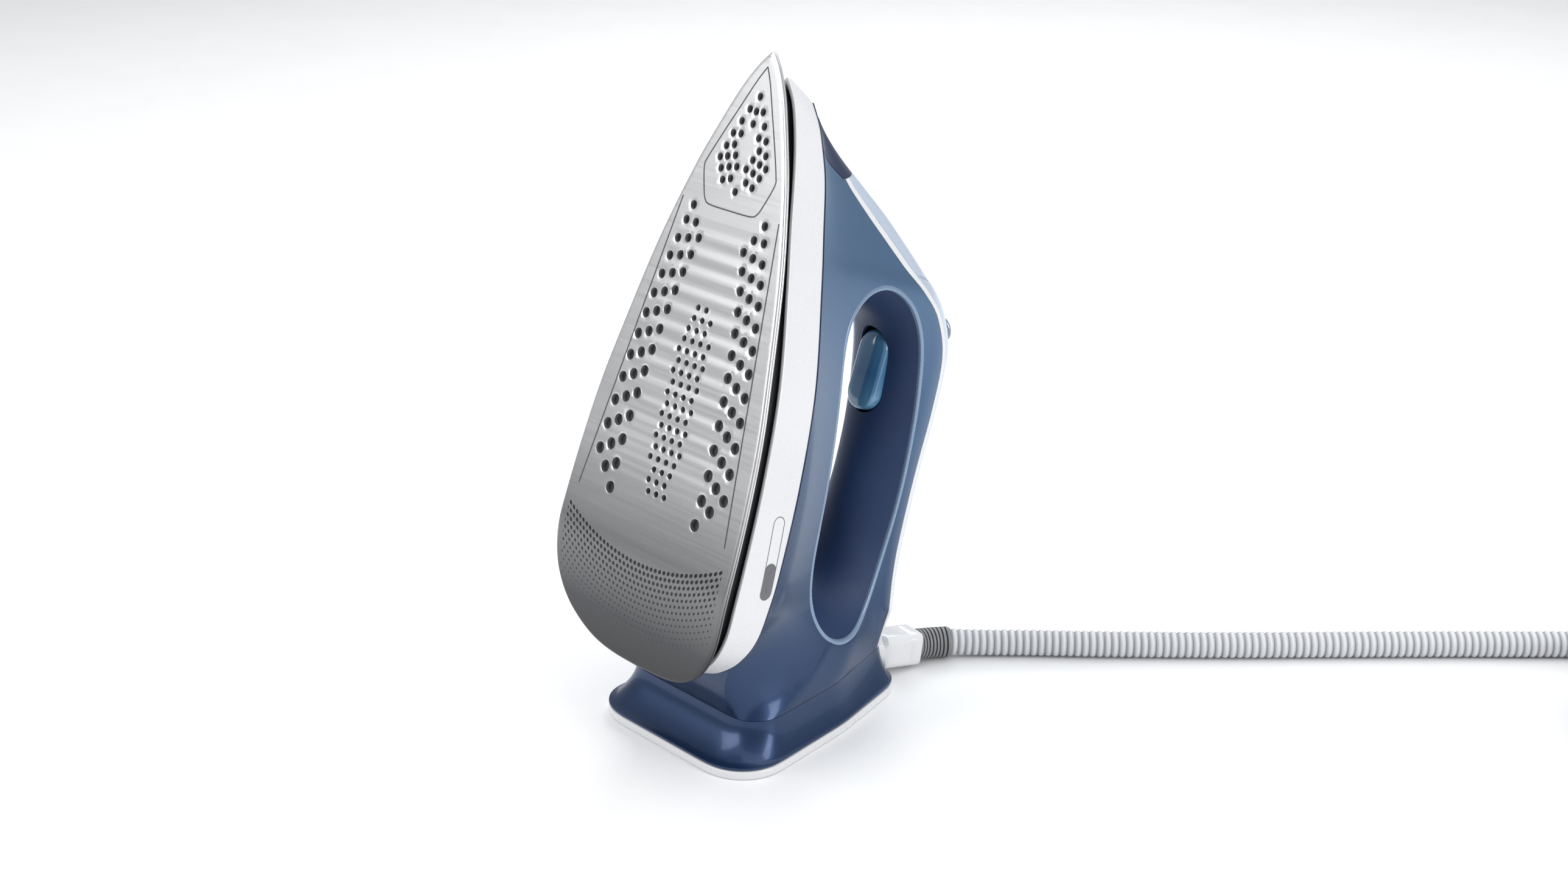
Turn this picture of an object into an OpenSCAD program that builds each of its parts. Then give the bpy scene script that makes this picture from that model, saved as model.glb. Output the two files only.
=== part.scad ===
// Steam-station clothes iron, standing on its heel. Millimetres.
// World frame: X across the iron (mid-plane X = 0), the soleplate faces -Y and leans back,
// Z up, floor at Z = 0, origin at the middle of the foot. Most pieces are drawn in the iron's own frame [x, w, v], where w is
// the height above the soleplate's face and v runs along the soleplate from heel to tip.

/* [Stance] */
// Lean of the soleplate from the vertical when the iron stands on its heel, degrees
tilt = 20.4; // [18:0.2:22]
// Where the soleplate's face would meet the floor, along Y
sole_y = -100.5; // [-104:0.5:-97]

/* [Soleplate] */
// Height of the soleplate's tip along the plate
tip_v = 304; // [302:1:308]
// Height of the soleplate's heel edge along the plate
heel_v = 50; // [48:1:52]
// Half width of the soleplate at its widest
sole_half = 53.5; // [52:0.5:55]
// Thickness of the soleplate
sole_t = 3; // [2.5:0.1:3.2]
// How far the heel edge curls up from the flat face
heel_curl = 15; // [12:1:17]
// Diameter of the large steam vents
vent_d = 4.4; // [3:0.1:5]
// Diameter of the small vents of the middle group
small_vent_d = 2.6; // [1.5:0.1:3]

/* [Shells] */
// Wall thickness of the moulded shells
wall = 2.4; // [1.8:0.1:2.8]
// Height above the face where the white skirt starts
skirt_low = 9; // [8.5:0.5:10]
// Height above the face where the blue housing starts
skirt_high = 29; // [28:0.5:30]
// Gap left between neighbouring shells
seam = 0.25; // [0.15:0.05:0.4]

/* [Heel foot] */
// Height of the white base plate
rim_h = 4; // [3.5:0.5:5]
// Height of the seam between the foot and the housing
seam_z = 21; // [19:1:23]

/* [Controls] */
// Travel of the round button on the back of the handle
button_travel = 2; // [1:0.1:2.5]
// Diameter of the round button
button_d = 13; // [11:0.5:14]

/* [Steam hose] */
// Outer diameter of the corrugated hose
hose_d = 12; // [10:0.5:13]
// Middle radius of the stored coil
coil_r = 66; // [60:1:72]

/* [Hidden] */

$fn = 40;
sn = sin(tilt);
cs = cos(tilt);
mid = 0.5;

// ---- frames and curves -------------------------------------------------------------
module iron() translate([0, sole_y, 0]) rotate([-tilt, 0, 0]) children();
module along_w(w0, w1) translate([0, w1, 0]) rotate([90, 0, 0]) linear_extrude(w1 - w0) children();
module along_x(x0, x1) translate([x0, 0, 0]) rotate([90, 0, 90]) linear_extrude(x1 - x0) children();
module rod_w(x, v, w0, w1, r) translate([x, w0, v]) rotate([-90, 0, 0]) cylinder(h = w1 - w0, r = r);
module rod_x(w, v, x0, x1, r) translate([x0, w, v]) rotate([0, 90, 0]) cylinder(h = x1 - x0, r = r);
function to_iron(p) = [p[0], (p[1] - sole_y) * cs - p[2] * sn, (p[1] - sole_y) * sn + p[2] * cs];
function mix(a, b, t) = a + (b - a) * t;
function spline(a, b, c, d, t) = 0.5 * (2 * b + (c - a) * t + (2 * a - 5 * b + 4 * c - d) * t * t
    + (3 * b - a - 3 * c + d) * t * t * t);
function smooth(P, n) = [for (i = [0 : len(P) - 2]) for (k = [0 : n - 1])
    spline(P[max(i - 1, 0)], P[i], P[i + 1], P[min(i + 2, len(P) - 1)], k / n), P[len(P) - 1]];
function smooth_loop(P, n) = let (m = len(P)) [for (i = [0 : m - 1]) for (k = [0 : n - 1])
    spline(P[(i + m - 1) % m], P[i], P[(i + 1) % m], P[(i + 2) % m], k / n)];
function flip(P) = [for (i = [len(P) - 1 : -1 : 0]) P[i]];
function mirrored(P) = concat(P, [for (i = [len(P) - 2 : -1 : 1]) [-P[i][0], P[i][1], P[i][2]]]);
function both(P) = concat(P, [for (i = [len(P) - 2 : -1 : 1]) [-P[i][0], P[i][1]]]);

// A closed solid through a stack of rings that have the same number of points
module loft(rings) {
    n = len(rings[0]);
    m = len(rings);
    polyhedron(
        points = [for (r = rings) for (p = r) p],
        faces = concat(
            [[for (i = [0 : n - 1]) i]],
            [[for (i = [n - 1 : -1 : 0]) (m - 1) * n + i]],
            [for (j = [0 : m - 2]) for (i = [0 : n - 1]) let (k = (i + 1) % n)
                [j * n + i, (j + 1) * n + i, (j + 1) * n + k, j * n + k]]),
        convexity = 8);
}
// A round tube along points
function unit(a) = a / norm(a);
function tube_ring(P, i, r, n, up) = let (
    t = unit(P[min(i + 1, len(P) - 1)] - P[max(i - 1, 0)]), u = unit(cross(t, up)), w = cross(t, u))
    [for (k = [0 : n - 1]) P[i] + r * (cos(360 * k / n) * u + sin(360 * k / n) * w)];
module tube(P, r, n, up = [0, 0, 1]) loft([for (i = [0 : len(P) - 1]) tube_ring(P, i, r, n, up)]);

// ---- design curves -------------------------------------------------------------------
// Half outline of the soleplate: [half width, v], heel to tip
sole_side = smooth([[0, heel_v], [16, 50.6], [28, 53], [38, 58.5], [45.5, 66], [50.8, 77], [53.2, 91],
    [sole_half, 106], [52.4, 131], [50, 156], [46.2, 178], [37.6, 219], [27.6, 252], [20.4, 270],
    [12.6, 287], [6, 297.5], [0, tip_v]], 4);
// Half outlines of the skirt at its lower and upper rims
skirt_foot = smooth([[0, 55], [15, 55.5], [27, 57.5], [36, 62], [43.5, 69], [49.5, 80], [52, 93],
    [52, 108], [50, 142], [45, 179], [34, 219], [26, 243], [19, 263], [13, 278], [7, 290], [0, 298]], 4);
skirt_head = smooth([[0, 55], [15, 55.5], [28, 57.5], [35.5, 61], [43, 67.5], [49, 78], [51, 92],
    [51.4, 108], [49.5, 142], [44, 180], [32.5, 219], [25.5, 240], [18.6, 260], [12, 273], [7, 281], [0, 289]], 4);
// Height of the back of the body above the soleplate's face: [v, w]
spine = smooth([[88, 144.5], [120, 142.5], [150, 141], [178, 140.5], [202, 138], [216, 131], [225, 123],
    [234, 111], [244, 96.5], [254, 81], [261, 68], [271, 49], [279, 37], [286, 30.5]], 4);
// Half width of the handle or ridge: [v, half width]
ridge = smooth([[88, 24], [105, 21], [130, 20], [215, 20], [234, 17], [254, 12], [271, 8], [280, 5], [286, 2]], 4);
// Half width of the body on the skirt: [v, half width]
shoulder = [for (p = skirt_head) [p[1], p[0]]];
// Outline of the recess round the handle: [w, v]
ring_loop = smooth_loop([[53.5, 196], [56, 178], [63.6, 140], [68.5, 104], [74, 89], [83, 79], [94, 75.5],
    [105, 79], [113, 90], [118, 110], [119.5, 135], [117.5, 160], [113, 185], [106, 206], [95, 219],
    [80, 224], [66, 220], [56, 209]], 3);
// Outline of the finger gap: [w, v]
hole_loop = smooth_loop([[56.3, 196], [58.8, 178], [66.4, 140], [71.5, 106], [78, 94], [88, 90], [97, 95],
    [102, 106], [103.5, 125], [103.5, 172], [101, 196], [94, 208], [80, 213.5], [66, 212], [58.5, 206]], 3);

// ---- body section ----------------------------------------------------------------------
sides = [0, 0.12, 0.25, 0.4, 0.55, 0.68, 0.79, 0.88, 0.945, 0.985, 1];
function body_half(v, t, d) = let (
    h = lookup(v, spine) - skirt_high,
    hb = lookup(v, shoulder) - d, ht = max(lookup(v, ridge) - d, 0.6), hr = min(0.5, 23 / h),
    s = max(0, (t - 1 + hr) / hr))
    mix(ht, max(hb, ht), pow(1 - t, 2.6)) * pow(max(0, 1 - pow(s, 2.3)), 0.5);
// One half of the section at v, shrunk by d; its lower edge moves down by drop
function body_ring(v, d, drop) = let (top = lookup(v, spine) - d, hb = body_half(v, 0, d))
    mirrored(concat([[0, skirt_high - drop, v], [hb * 0.6, skirt_high - drop, v]],
        [for (t = sides) [t == 1 ? 0 : body_half(v, t, d), mix(skirt_high - drop, top, t), v]]));
// Foot outline at a height, shrunk by d at the sides and f at the front
function corner(c, r, a) = [c[0] + r * cos(a), c[1] + r * sin(a)];
foot_side = 49.5;
foot_corner = 20;
function foot_half(d, f) = concat([[0, f - 57], [9, f - 57]],
    [for (a = [-90, -68, -45, -22, 0])
        corner([foot_side - foot_corner, foot_corner - 57 + f - d], foot_corner - d, a)],
    [[mix(30.5 - d * mid, foot_side - d, 0.55), 10]],
    [for (a = [8, 30, 52, 76]) corner([14.5 - d * mid, 41.5], 16 - d * mid, a)],
    [[0, 57.5 - d * mid]]);
function foot_ring(z, d, f) = mirrored([for (p = foot_half(d, f)) [p[0], p[1], z]]);
neck_v = 88;
function neck_ring(k, d, drop) = let (a = body_ring(neck_v, d, drop > 0 ? -d : 0),
    b = [for (p = foot_ring(seam_z - (drop > 0 ? 1 : 0), 7 + d, 14 + d)) to_iron(p)],
    g = 1 - pow(1 - k, 1.5))
    [for (i = [0 : len(a) - 1]) let (late = 1 + 2.5 * pow(max(0, (144 - a[i][1]) / 115), 2))
        [mix(a[i][0], b[i][0], g), mix(a[i][1], b[i][1], pow(k, late)), mix(a[i][2], b[i][2], k)]];
body_v = [88, 100, 120, 142, 164, 184, 200, 210, 219, 227, 235, 243, 251, 259, 266, 273, 279, 284];
module body_solid(d = 0, drop = 0) loft(concat(
    [for (k = [1, 0.8, 0.6, 0.4, 0.2]) neck_ring(k, d, drop)],
    [for (v = body_v) if (v < 286 - d * 2) body_ring(v, d, drop)]));
// Everything behind the line that is depth below the back of the body
module behind(depth) along_x(-60, 60) polygon(concat(
    [for (p = smooth([[30, 134 - depth], [60, 143 - depth], [88, 144.5 - depth], [120, 142.5 - depth],
        [150, 141 - depth], [178, 140.5 - depth], [200, 138.3 - depth * 1.05], [216, 131 - depth * 1.2],
        [225, 123 - depth * 1.45], [234, 111 - depth * 1.65], [243, 98 - depth * 1.68], [252, 84 - depth * 1.62],
        [261, 68 - depth * 1.35], [267, 56.5 - depth * 0.9], [272, 47 - depth * 0.5], [280, 36 - depth * 0.4],
        [290, 20 - depth * 0.4]], 2)) [p[1], p[0]]],
    [[190, 290], [190, 30]]));
module shell_solid() difference() {
    body_solid();
    body_solid(wall, 2);
}
// A closed outline moved outwards by d
function grow(P, d) = let (n = len(P)) [for (i = [0 : n - 1])
    let (t = unit(P[(i + 1) % n] - P[(i + n - 1) % n])) P[i] + d * [t[1], -t[0]]];
module ring_cut(d = 0) along_x(-60, 60) polygon(grow(ring_loop, d));
module hole_cut(d = 0) along_x(-60, 60) polygon(grow(hole_loop, d));
// Height of the soleplate's lower face, which curls up towards the heel
function curl(v) = heel_curl * pow(max(0, 100 - v) / (100 - heel_v), 1.8);
// The band between two heights above the curled face
module curl_band(a, b) along_x(-60, 60) polygon(concat(
    [for (v = [44 : 8 : 100]) [curl(v) + a, v]], [[a, 310], [b, 310]],
    [for (v = [100 : -8 : 44]) [curl(v) + b, v]]));
function shrunk(P, d) = [for (p = P) [p[0] - d * min(1, p[0] / 12), mix(p[1], 150, d / 130)]];

// ---- button and trigger places ---------------------------------------------------------
button_w = 135;
button_v = 209;
module at_button() translate([0, button_w, button_v]) rotate([-65, 0, 0]) children();
pin_w = 110;
pin_v = 200;
pin_r = 1.5;
run_gap = 0.06;

// The hose leaves the heel towards +Y, drooping a little
boot_from = [7, 44, 14.2];
boot_to = [12, 78, 8.8];
boot_r = 7.7;
module along_boot() let (d = boot_to - boot_from)
    translate(boot_from) rotate([0, 0, atan2(d[1], d[0])]) rotate([0, 90 - asin(d[2] / norm(d)), 0]) children();
module boot_bore(r) along_boot() translate([0, 0, -12]) cylinder(h = 45, r = r);

// ---- soleplate and heater -----------------------------------------------------------------
module vent(x, v, d) rod_w(x, v, -1, sole_t + 1, d / 2, $fn = 16);
module side_vents() for (s = [-1, 1]) {
    for (j = [0 : 10]) for (c = [0 : 2])
        vent(s * (25.7 + 2.1 * j - 0.075 * j * j - 6 * c), 223 - 7.6 * j - 0.16 * j * j
            + c * (1.2 + 0.22 * j), vent_d * (0.86 + 0.028 * j));
    for (q = [[21.6, 237.5], [23.6, 231], [17.7, 231]]) vent(s * q[0], q[1], vent_d * 0.84);
    for (q = [[33.2, 124.7], [27.2, 127.6], [27, 117.5]]) vent(s * q[0], q[1], vent_d * 1.15);
}
module tip_vents() {
    for (s = [-1, 1]) for (q = [[3.9, 279.9], [6.7, 274.6], [9.8, 269.2], [5.3, 269.7], [11.8, 263.7],
        [7.4, 264.9], [13.7, 258.8], [9.6, 259.8], [5.2, 260.9], [11.5, 254.6], [7.2, 255.9], [2.8, 256.7],
        [8.9, 250.3], [4.6, 251.6]]) vent(s * q[0], q[1], vent_d * 0.72);
    for (v = [285.5, 279.5, 274.5, 247]) vent(0, v, vent_d * 0.72);
}
module middle_vents() for (j = [0 : 17]) let (n = j < 1 ? 2 : j < 3 ? 3 : j < 15 ? 4 : 3)
    for (i = [0 : n - 1]) vent((i - (n - 1) / 2) * 5 + (j % 2) * 1.6 - 0.8, 199 - 4.5 * j, small_vent_d);
module soleplate() color("silver") iron() difference() {
    intersection() {
        along_w(-1, heel_curl + sole_t + 2) polygon(both(sole_side));
        curl_band(0, sole_t);
    }
    side_vents();
    tip_vents();
    middle_vents();
}
chamber_low = sole_t + 0.05;
chamber_top = 17;
cover_t = 1.5;
gasket_t = 1;
cover_low = chamber_top + gasket_t + 0.1;
chamber_side = smooth([[0, 100.6], [22, 100.6], [35, 103], [40, 113], [38, 140], [33, 178], [25.5, 219],
    [16, 252], [8, 270], [0, 279]], 4);
cover_side = smooth([[0, 106], [20, 106], [27, 109], [29.5, 118], [26, 150], [19, 190], [12, 225], [6, 243],
    [0, 250]], 4);
cover_screw_at = [[24, 112], [16.4, 176], [9, 228]];
shield_screw_at = [[36.2, 106], [22.5, 222]];
element_w = 10.5;
element_r = 4;
leg_lean = 8.5;
bend_r = 13;
bend_v = 244;
function leg_point(s, l) = [s * (bend_r * cos(leg_lean) + l * sin(leg_lean)), element_w,
    bend_v + bend_r * sin(leg_lean) - l * cos(leg_lean)];
element_path = concat([for (l = [160, 107, 54]) leg_point(1, l)],
    [for (a = [0 : 8]) let (q = mix(leg_lean, 180 - leg_lean, a / 8))
        [bend_r * cos(q), element_w, bend_v + bend_r * sin(q)]],
    [for (l = [54, 107, 160]) leg_point(-1, l)]);
module steam_chamber() color("gainsboro") iron() difference() {
    along_w(chamber_low, chamber_top) polygon(both(chamber_side));
    tube(element_path, element_r + 0.1, 12, [0, 1, 0]);
    along_w(6, chamber_top + 1) polygon(both([for (p = cover_side) [p[0] * 0.62, mix(p[1], 170, 0.25)]]));
    for (s = [-1, 1]) for (q = cover_screw_at) rod_w(s * q[0], q[1], 9, chamber_top + 1, 2);
    for (s = [-1, 1]) for (q = shield_screw_at) rod_w(s * q[0], q[1], 14.2, chamber_top + 1, 1.5);
}
module heating_element() color("dimgray") iron() tube(element_path, element_r, 12, [0, 1, 0]);
module chamber_gasket() color("orangered") iron() difference() {
    along_w(chamber_top + 0.05, chamber_top + gasket_t + 0.05) polygon(both(cover_side));
    along_w(chamber_top - 1, cover_low + 1) polygon(both([for (p = cover_side) [p[0] * 0.64, mix(p[1], 170, 0.24)]]));
    for (s = [-1, 1]) for (q = cover_screw_at) rod_w(s * q[0], q[1], 9, cover_low + 1, 2.1);
}
inlet_x = 0;
inlet_v = 150;
module chamber_cover() color("darkgray") iron() difference() {
    along_w(cover_low, cover_low + cover_t) polygon(both(cover_side));
    for (s = [-1, 1]) for (q = cover_screw_at) rod_w(s * q[0], q[1], 9, 30, 2.1);
    rod_w(inlet_x, inlet_v, 9, 30, 4.1);
}
module pan_screw(x, v, w, len, r) {
    rod_w(x, v, w - len, w + 0.5, r);
    difference() {
        rod_w(x, v, w, w + 2, r * 1.9);
        translate([x, w + 1.4, v]) cube([r * 3, 1.4, 0.7], center = true);
        translate([x, w + 1.4, v]) cube([0.7, 1.4, r * 3], center = true);
    }
}
module cover_screws() color("lightgray") iron() for (s = [-1, 1]) for (q = cover_screw_at)
    pan_screw(s * q[0], q[1], cover_low + cover_t + 0.05, 9, 1.95);
module thermostat() color("tan") iron() {
    rod_w(0, 200, cover_low + cover_t + 0.1, 27, 9);
    for (s = [-1, 1]) translate([s * 5 - 1.5, 27 - 0.2, 199]) cube([3, 7, 1]);
}
module thermal_fuse() color("white") iron() {
    translate([-4, cover_low + cover_t + 3.2, 172]) rotate([0, 90, 0]) cylinder(h = 16, r = 2.2);
    translate([-2, cover_low + cover_t + 0.1, 169]) cube([3, 4, 6]);
    translate([7, cover_low + cover_t + 0.1, 169]) cube([3, 4, 6]);
}
module inlet_fitting() color("goldenrod") iron() difference() {
    union() {
        rod_w(inlet_x, inlet_v, 12, cover_low + cover_t + 1, 4);
        rod_w(inlet_x, inlet_v, cover_low + cover_t + 0.05, 26, 7.5, $fn = 6);
        rod_w(inlet_x, inlet_v, 26, 36, 2.9);
    }
    rod_w(inlet_x, inlet_v, 8, 40, 1.6);
}
module heat_shield() color("black") iron() difference() {
    intersection() {
        union() {
            intersection() {
                along_w(3, 23) difference() {
                    polygon(both(shrunk(skirt_foot, 3.2)));
                    polygon(both(shrunk(skirt_foot, 4.7)));
                }
                curl_band(sole_t + 0.3, 23);
            }
            along_w(21, 23) difference() {
                polygon(both([for (p = shrunk(skirt_foot, 4.4)) if (p[1] > 88) p]));
                polygon(both([for (p = cover_side) [p[0] * 1.04, mix(p[1], 170, -0.04)]]));
            }
        }
        skirt_loft(wall + 0.6, skirt_low - 6, skirt_high + 1);
    }
    for (s = [-1, 1]) for (q = cover_screw_at) rod_w(s * q[0], q[1], 9, 40, 4);
    for (s = [-1, 1]) for (q = shield_screw_at) rod_w(s * q[0], q[1], 9, 40, 1.7);
}
module shield_screws() color("lightgray") iron() for (s = [-1, 1]) for (q = shield_screw_at)
    pan_screw(s * q[0], q[1], 23.05, 7, 1.45);

// ---- outer shells ----------------------------------------------------------------------
skirt_w = [0, 0.3, 0.65, 1];
module skirt_loft(d, w0, w1) {
    low = flip(both(shrunk(skirt_foot, d)));
    high = flip(both(shrunk(skirt_head, d)));
    loft([for (k = skirt_w) [for (i = [0 : len(low) - 1])
        let (p = mix(low[i], high[i], pow(k, 1.3))) [p[0], mix(w0, w1, k), p[1]]]]);
}
module skirt() color("whitesmoke") iron() {
    intersection() {
        difference() {
            skirt_loft(0, skirt_low - 4, skirt_high - seam);
            skirt_loft(wall, skirt_low - 6, skirt_high + 1);
        }
        curl_band(skirt_low, 60);
    }
    along_w(skirt_high - wall, skirt_high - seam)
        polygon(both([for (p = shrunk(skirt_head, 1)) if (p[1] > 262) p]));
}
stripe_deep = 14.2;
stripe_w = 3;
nose_area = [[20, 300], [24, 279], [33, 268], [46, 262.5], [60, 268], [75, 290]];
module nose_cut(d = 0) along_x(-60, 60) polygon(grow(nose_area, d));
module main_housing() color("steelblue") difference() {
    iron() difference() {
        shell_solid();
        ring_cut();
        behind(stripe_deep);
        nose_cut();
    }
    boot_bore(boot_r + 0.3);
}
module nose_insert() color("midnightblue") iron() intersection() {
    shell_solid();
    nose_cut(-seam);
}
module stripe_trim() color("white") iron() difference() {
    shell_solid();
    behind(stripe_deep - stripe_w);
    front_of(stripe_deep - seam);
    nose_cut();
}
// Everything in front of the line that is depth below the back of the body
module front_of(depth) difference() {
    translate([-70, -20, 20]) cube([140, 190, 300]);
    behind(depth);
}
module spine_cover() color("lightsteelblue") iron() difference() {
    shell_solid();
    front_of(stripe_deep - stripe_w - seam);
    nose_cut();
    at_button() translate([0, 0, -12]) cylinder(h = 24, r = button_d / 2 + 0.35);
}

// ---- handle -----------------------------------------------------------------------------
slot_half = 8.7;
module trigger_slot() along_x(-slot_half, slot_half) polygon([[92, 168.3], [92, 206.5], [108, 206.5], [108, 168.3]]);
// Half width of the rounded grip: [v, half width]; it spreads at both ends to meet the body
grip_line = [[70, 64], [95, 46], [103, 32], [112, 23.5], [124, 19.6], [186, 19.6], [198, 22.5], [206, 32],
    [212, 42], [235, 64]];
grip_w = 122;
function grip_ring(v, d) = let (a = lookup(v, grip_line) - d)
    mirrored(concat([for (t = [-90 : 15 : 0]) [a * cos(t), grip_w + (a - 0.6) * sin(t), v]],
        [[a, 165, v], [0, 165, v]]));
module grip_core(d) {
    loft([for (p = grip_line) grip_ring(p[0], d)]);
    along_w(20, 88) translate([-60, 60]) square([120, 180]);
}
module grip_shell() color("midnightblue") iron() difference() {
    intersection() {
        body_solid(0.8);
        ring_cut(-seam);
        grip_core(0);
    }
    hole_cut();
    difference() {
        intersection() {
            body_solid(0.8 + wall);
            grip_core(wall);
        }
        hole_cut(wall);
    }
    trigger_slot();
}
bar_w = 119;
module handle_chassis() color("dimgray") iron() difference() {
    union() {
        along_x(-9, 9) polygon([[bar_w, 104], [bar_w + 2.4, 104], [bar_w + 2.4, 197], [bar_w, 197]]);
        for (s = [-1, 1]) translate([s * 9.5 - 1.1, 106.7, 194.5]) cube([2.2, bar_w + 2 - 106.7, 11]);
        for (s = [-1, 1]) translate([s * 9.7 - 0.9, bar_w, 194.5]) cube([1.8, 2.4, 3]);
        at_button() translate([0, 0, -20]) cylinder(h = 1.8, r = 8.5);
        at_button() translate([-10.6, -6, -20]) cube([21.2, 12, 1.8]);
        rod_w(0, 176, bar_w - 1.5, bar_w + 0.5, 2);
    }
    rod_x(pin_w, pin_v, -12, 12, pin_r + 0.02);
}
module trigger_profile() polygon([[107.4, 170.2], [103.5, 170.2], [101, 171.6], [99.8, 175], [99.4, 184],
    [99.6, 194], [101, 200], [103, 203], [105.5, 204.6], [107.4, 204.6]]);
module trigger_section() translate([0, 0, 160]) linear_extrude(60)
    polygon([[-8, 112], [-8, 104.3], [-4.6, 99.3], [4.6, 99.3], [8, 104.3], [8, 112]]);
module trigger() color("deepskyblue", 0.7) iron() difference() {
    union() {
        intersection() {
            along_x(-8, 8) trigger_profile();
            trigger_section();
        }
        for (s = [-1, 1]) rod_x(pin_w, pin_v, s * 6.1 - 1.3, s * 6.1 + 1.3, 3.4);
        for (s = [-1, 1]) translate([s * 6.1 - 1.3, 107, pin_v - 3.4]) cube([2.6, 3, 6.8]);
        translate([-2, 107, 188.5]) cube([4, 3.9, 3]);
        rod_w(0, 176, 107, 108.6, 1.8);
    }
    rod_x(pin_w, pin_v, -12, 12, pin_r + run_gap);
}
module trigger_pin() color("silver") iron() rod_x(pin_w, pin_v, -10.5, 10.5, pin_r);
function helix(r, h, turns, n) = [for (i = [0 : turns * n]) [r * cos(360 * i / n), r * sin(360 * i / n), h * i / turns / n]];
module trigger_spring() color("silver") iron() translate([0, 107.8, 176]) rotate([-90, 0, 0])
    tube(helix(3, bar_w - 108.3, 5, 12), 0.35, 6);
switch_low = 112.4;
module trigger_switch() color("black") iron() {
    difference() {
        translate([-3.2, switch_low, 179.5]) cube([6.4, 5.8, 14]);
        rod_w(0, 190, switch_low - 1, switch_low + 4.5, 1.3);
    }
    for (v = [181, 186, 191.5]) translate([-1.5, switch_low + 5.7, v]) cube([3, 0.9, 0.7]);
}
module trigger_plunger() color("firebrick") iron() rod_w(0, 190, 111.3, switch_low + 2.6, 1.22);
board_w = 124.5;
module control_board() color("darkgreen") iron() {
    translate([-8.5, board_w, 112]) cube([17, 1.6, 74]);
    translate([-5, board_w + 1.5, 150]) cube([10, 4, 14]);
    translate([-6, board_w + 1.5, 118]) cube([12, 5, 9]);
    rod_w(4, 172, board_w + 1.5, board_w + 6.5, 2.5);
    rod_w(-4, 180, board_w + 1.5, board_w + 5, 2);
    for (v = [134 : 4 : 146]) translate([-6, board_w + 1.5, v]) cube([3, 1.2, 2]);
}
button_switch_top = -12.1;
stem_low = button_switch_top + button_travel + 0.1;
module button() color("slategray") iron() at_button() {
    rotate_extrude() polygon([[0, stem_low], [2, stem_low], [2, -7], [8, -7], [8, -5.9], [button_d / 2, -5.9],
        [button_d / 2, 4.7], [button_d / 2 - 0.8, 5.5], [0, 5.5]]);
}
module button_spring() color("silver") iron() at_button() translate([0, 0, -17.6]) tube(helix(5.2, 10.2, 5, 12), 0.35, 6);
module button_switch() color("black") iron() at_button() difference() {
    translate([-3, -3, -18.1]) cube([6, 6, button_switch_top + 18.1]);
    translate([0, 0, -16.6]) cylinder(h = 6, r = 1.6);
}
module button_plunger() color("ivory") iron() at_button() translate([0, 0, -14.3])
    cylinder(h = stem_low - 0.4 + 14.3, r = 1.52);
loom_path = smooth([[4, 113, 70], [4, 122, 79], [3, 131, 84], [2, 131, 96], [0, 128.6, 106], [0, 126.8, 111.5]], 2);
module wiring_loom() color("black") iron() tube(loom_path, 1.8, 8, [1, 0, 0]);
steam_path = smooth([[6, 104, 62], [6, 92, 60.5], [7, 78, 62], [8, 64, 70], [7, 53, 86], [4, 46, 106], [1, 43, 128],
    [0, 43, 141], [0, 39.9, 149.7], [0, 37.5, 150]], 2);
module steam_tube() color("indianred") iron() tube(steam_path, 3.4, 10, [1, 0, 0]);

// ---- heel foot and hose -------------------------------------------------------------------
flare = [0, 0.12, 0.28, 0.48, 0.72, 1];
module flare_loft(d, z0, z1) loft([for (k = flare) foot_ring(mix(z0, z1, k),
    7 * (1 - pow(1 - k, 2)) + d, 14 * (1 - pow(1 - k, 2)) + d)]);
base_screw_at = [[32, -26], [14.5, 41.5]];
boss_h = 9;
module foot_bosses() for (s = [-1, 1]) for (q = base_screw_at) translate([s * q[0], q[1], rim_h + 0.1]) {
    cylinder(h = boss_h, r = 3.6);
    translate([s > 0 ? 0 : -30, -1, 0]) cube([30, 2, boss_h]);
}
module heel_foot() color("steelblue") difference() {
    union() {
        difference() {
            flare_loft(0, rim_h + 0.1, seam_z - 0.15);
            flare_loft(wall, rim_h - 0.1, seam_z + 0.1);
        }
        intersection() {
            flare_loft(wall * mid, rim_h + 0.1, seam_z - 0.15);
            foot_bosses();
        }
    }
    boot_bore(boot_r + 0.3);
    for (s = [-1, 1]) for (q = base_screw_at) translate([s * q[0], q[1], 0]) cylinder(h = 11, r = 1.62);
}
module foot_plate(z0, z1, d) translate([0, 0, z0]) linear_extrude(z1 - z0)
    polygon([for (p = foot_ring(0, d, d)) [p[0], p[1]]]);
clamp_y = 34;
clamp_top = rim_h + 6;
function clamp_x(s) = 6.8 + s * 9.8;
module base_plate() color("white") difference() {
    union() {
        foot_plate(0, 1.2, 1);
        foot_plate(1.2, rim_h, 0);
    }
    for (s = [-1, 1]) for (q = base_screw_at) {
        translate([s * q[0], q[1], -1]) cylinder(h = 10, r = 1.7);
        translate([s * q[0], q[1], -1]) cylinder(h = 3.2, r = 3.8);
    }
    for (s = [-1, 1]) translate([clamp_x(s), clamp_y, 1.2]) cylinder(h = 10, r = 1.55);
}
module base_screws() color("silver") for (s = [-1, 1]) for (q = base_screw_at) translate([s * q[0], q[1], 0]) {
    translate([0, 0, 1]) cylinder(h = 6.5, r = 1.6);
    difference() {
        translate([0, 0, 0.4]) cylinder(h = 1.75, r = 3.4);
        cube([4, 0.8, 2], center = true);
        cube([0.8, 4, 2], center = true);
    }
}
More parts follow.
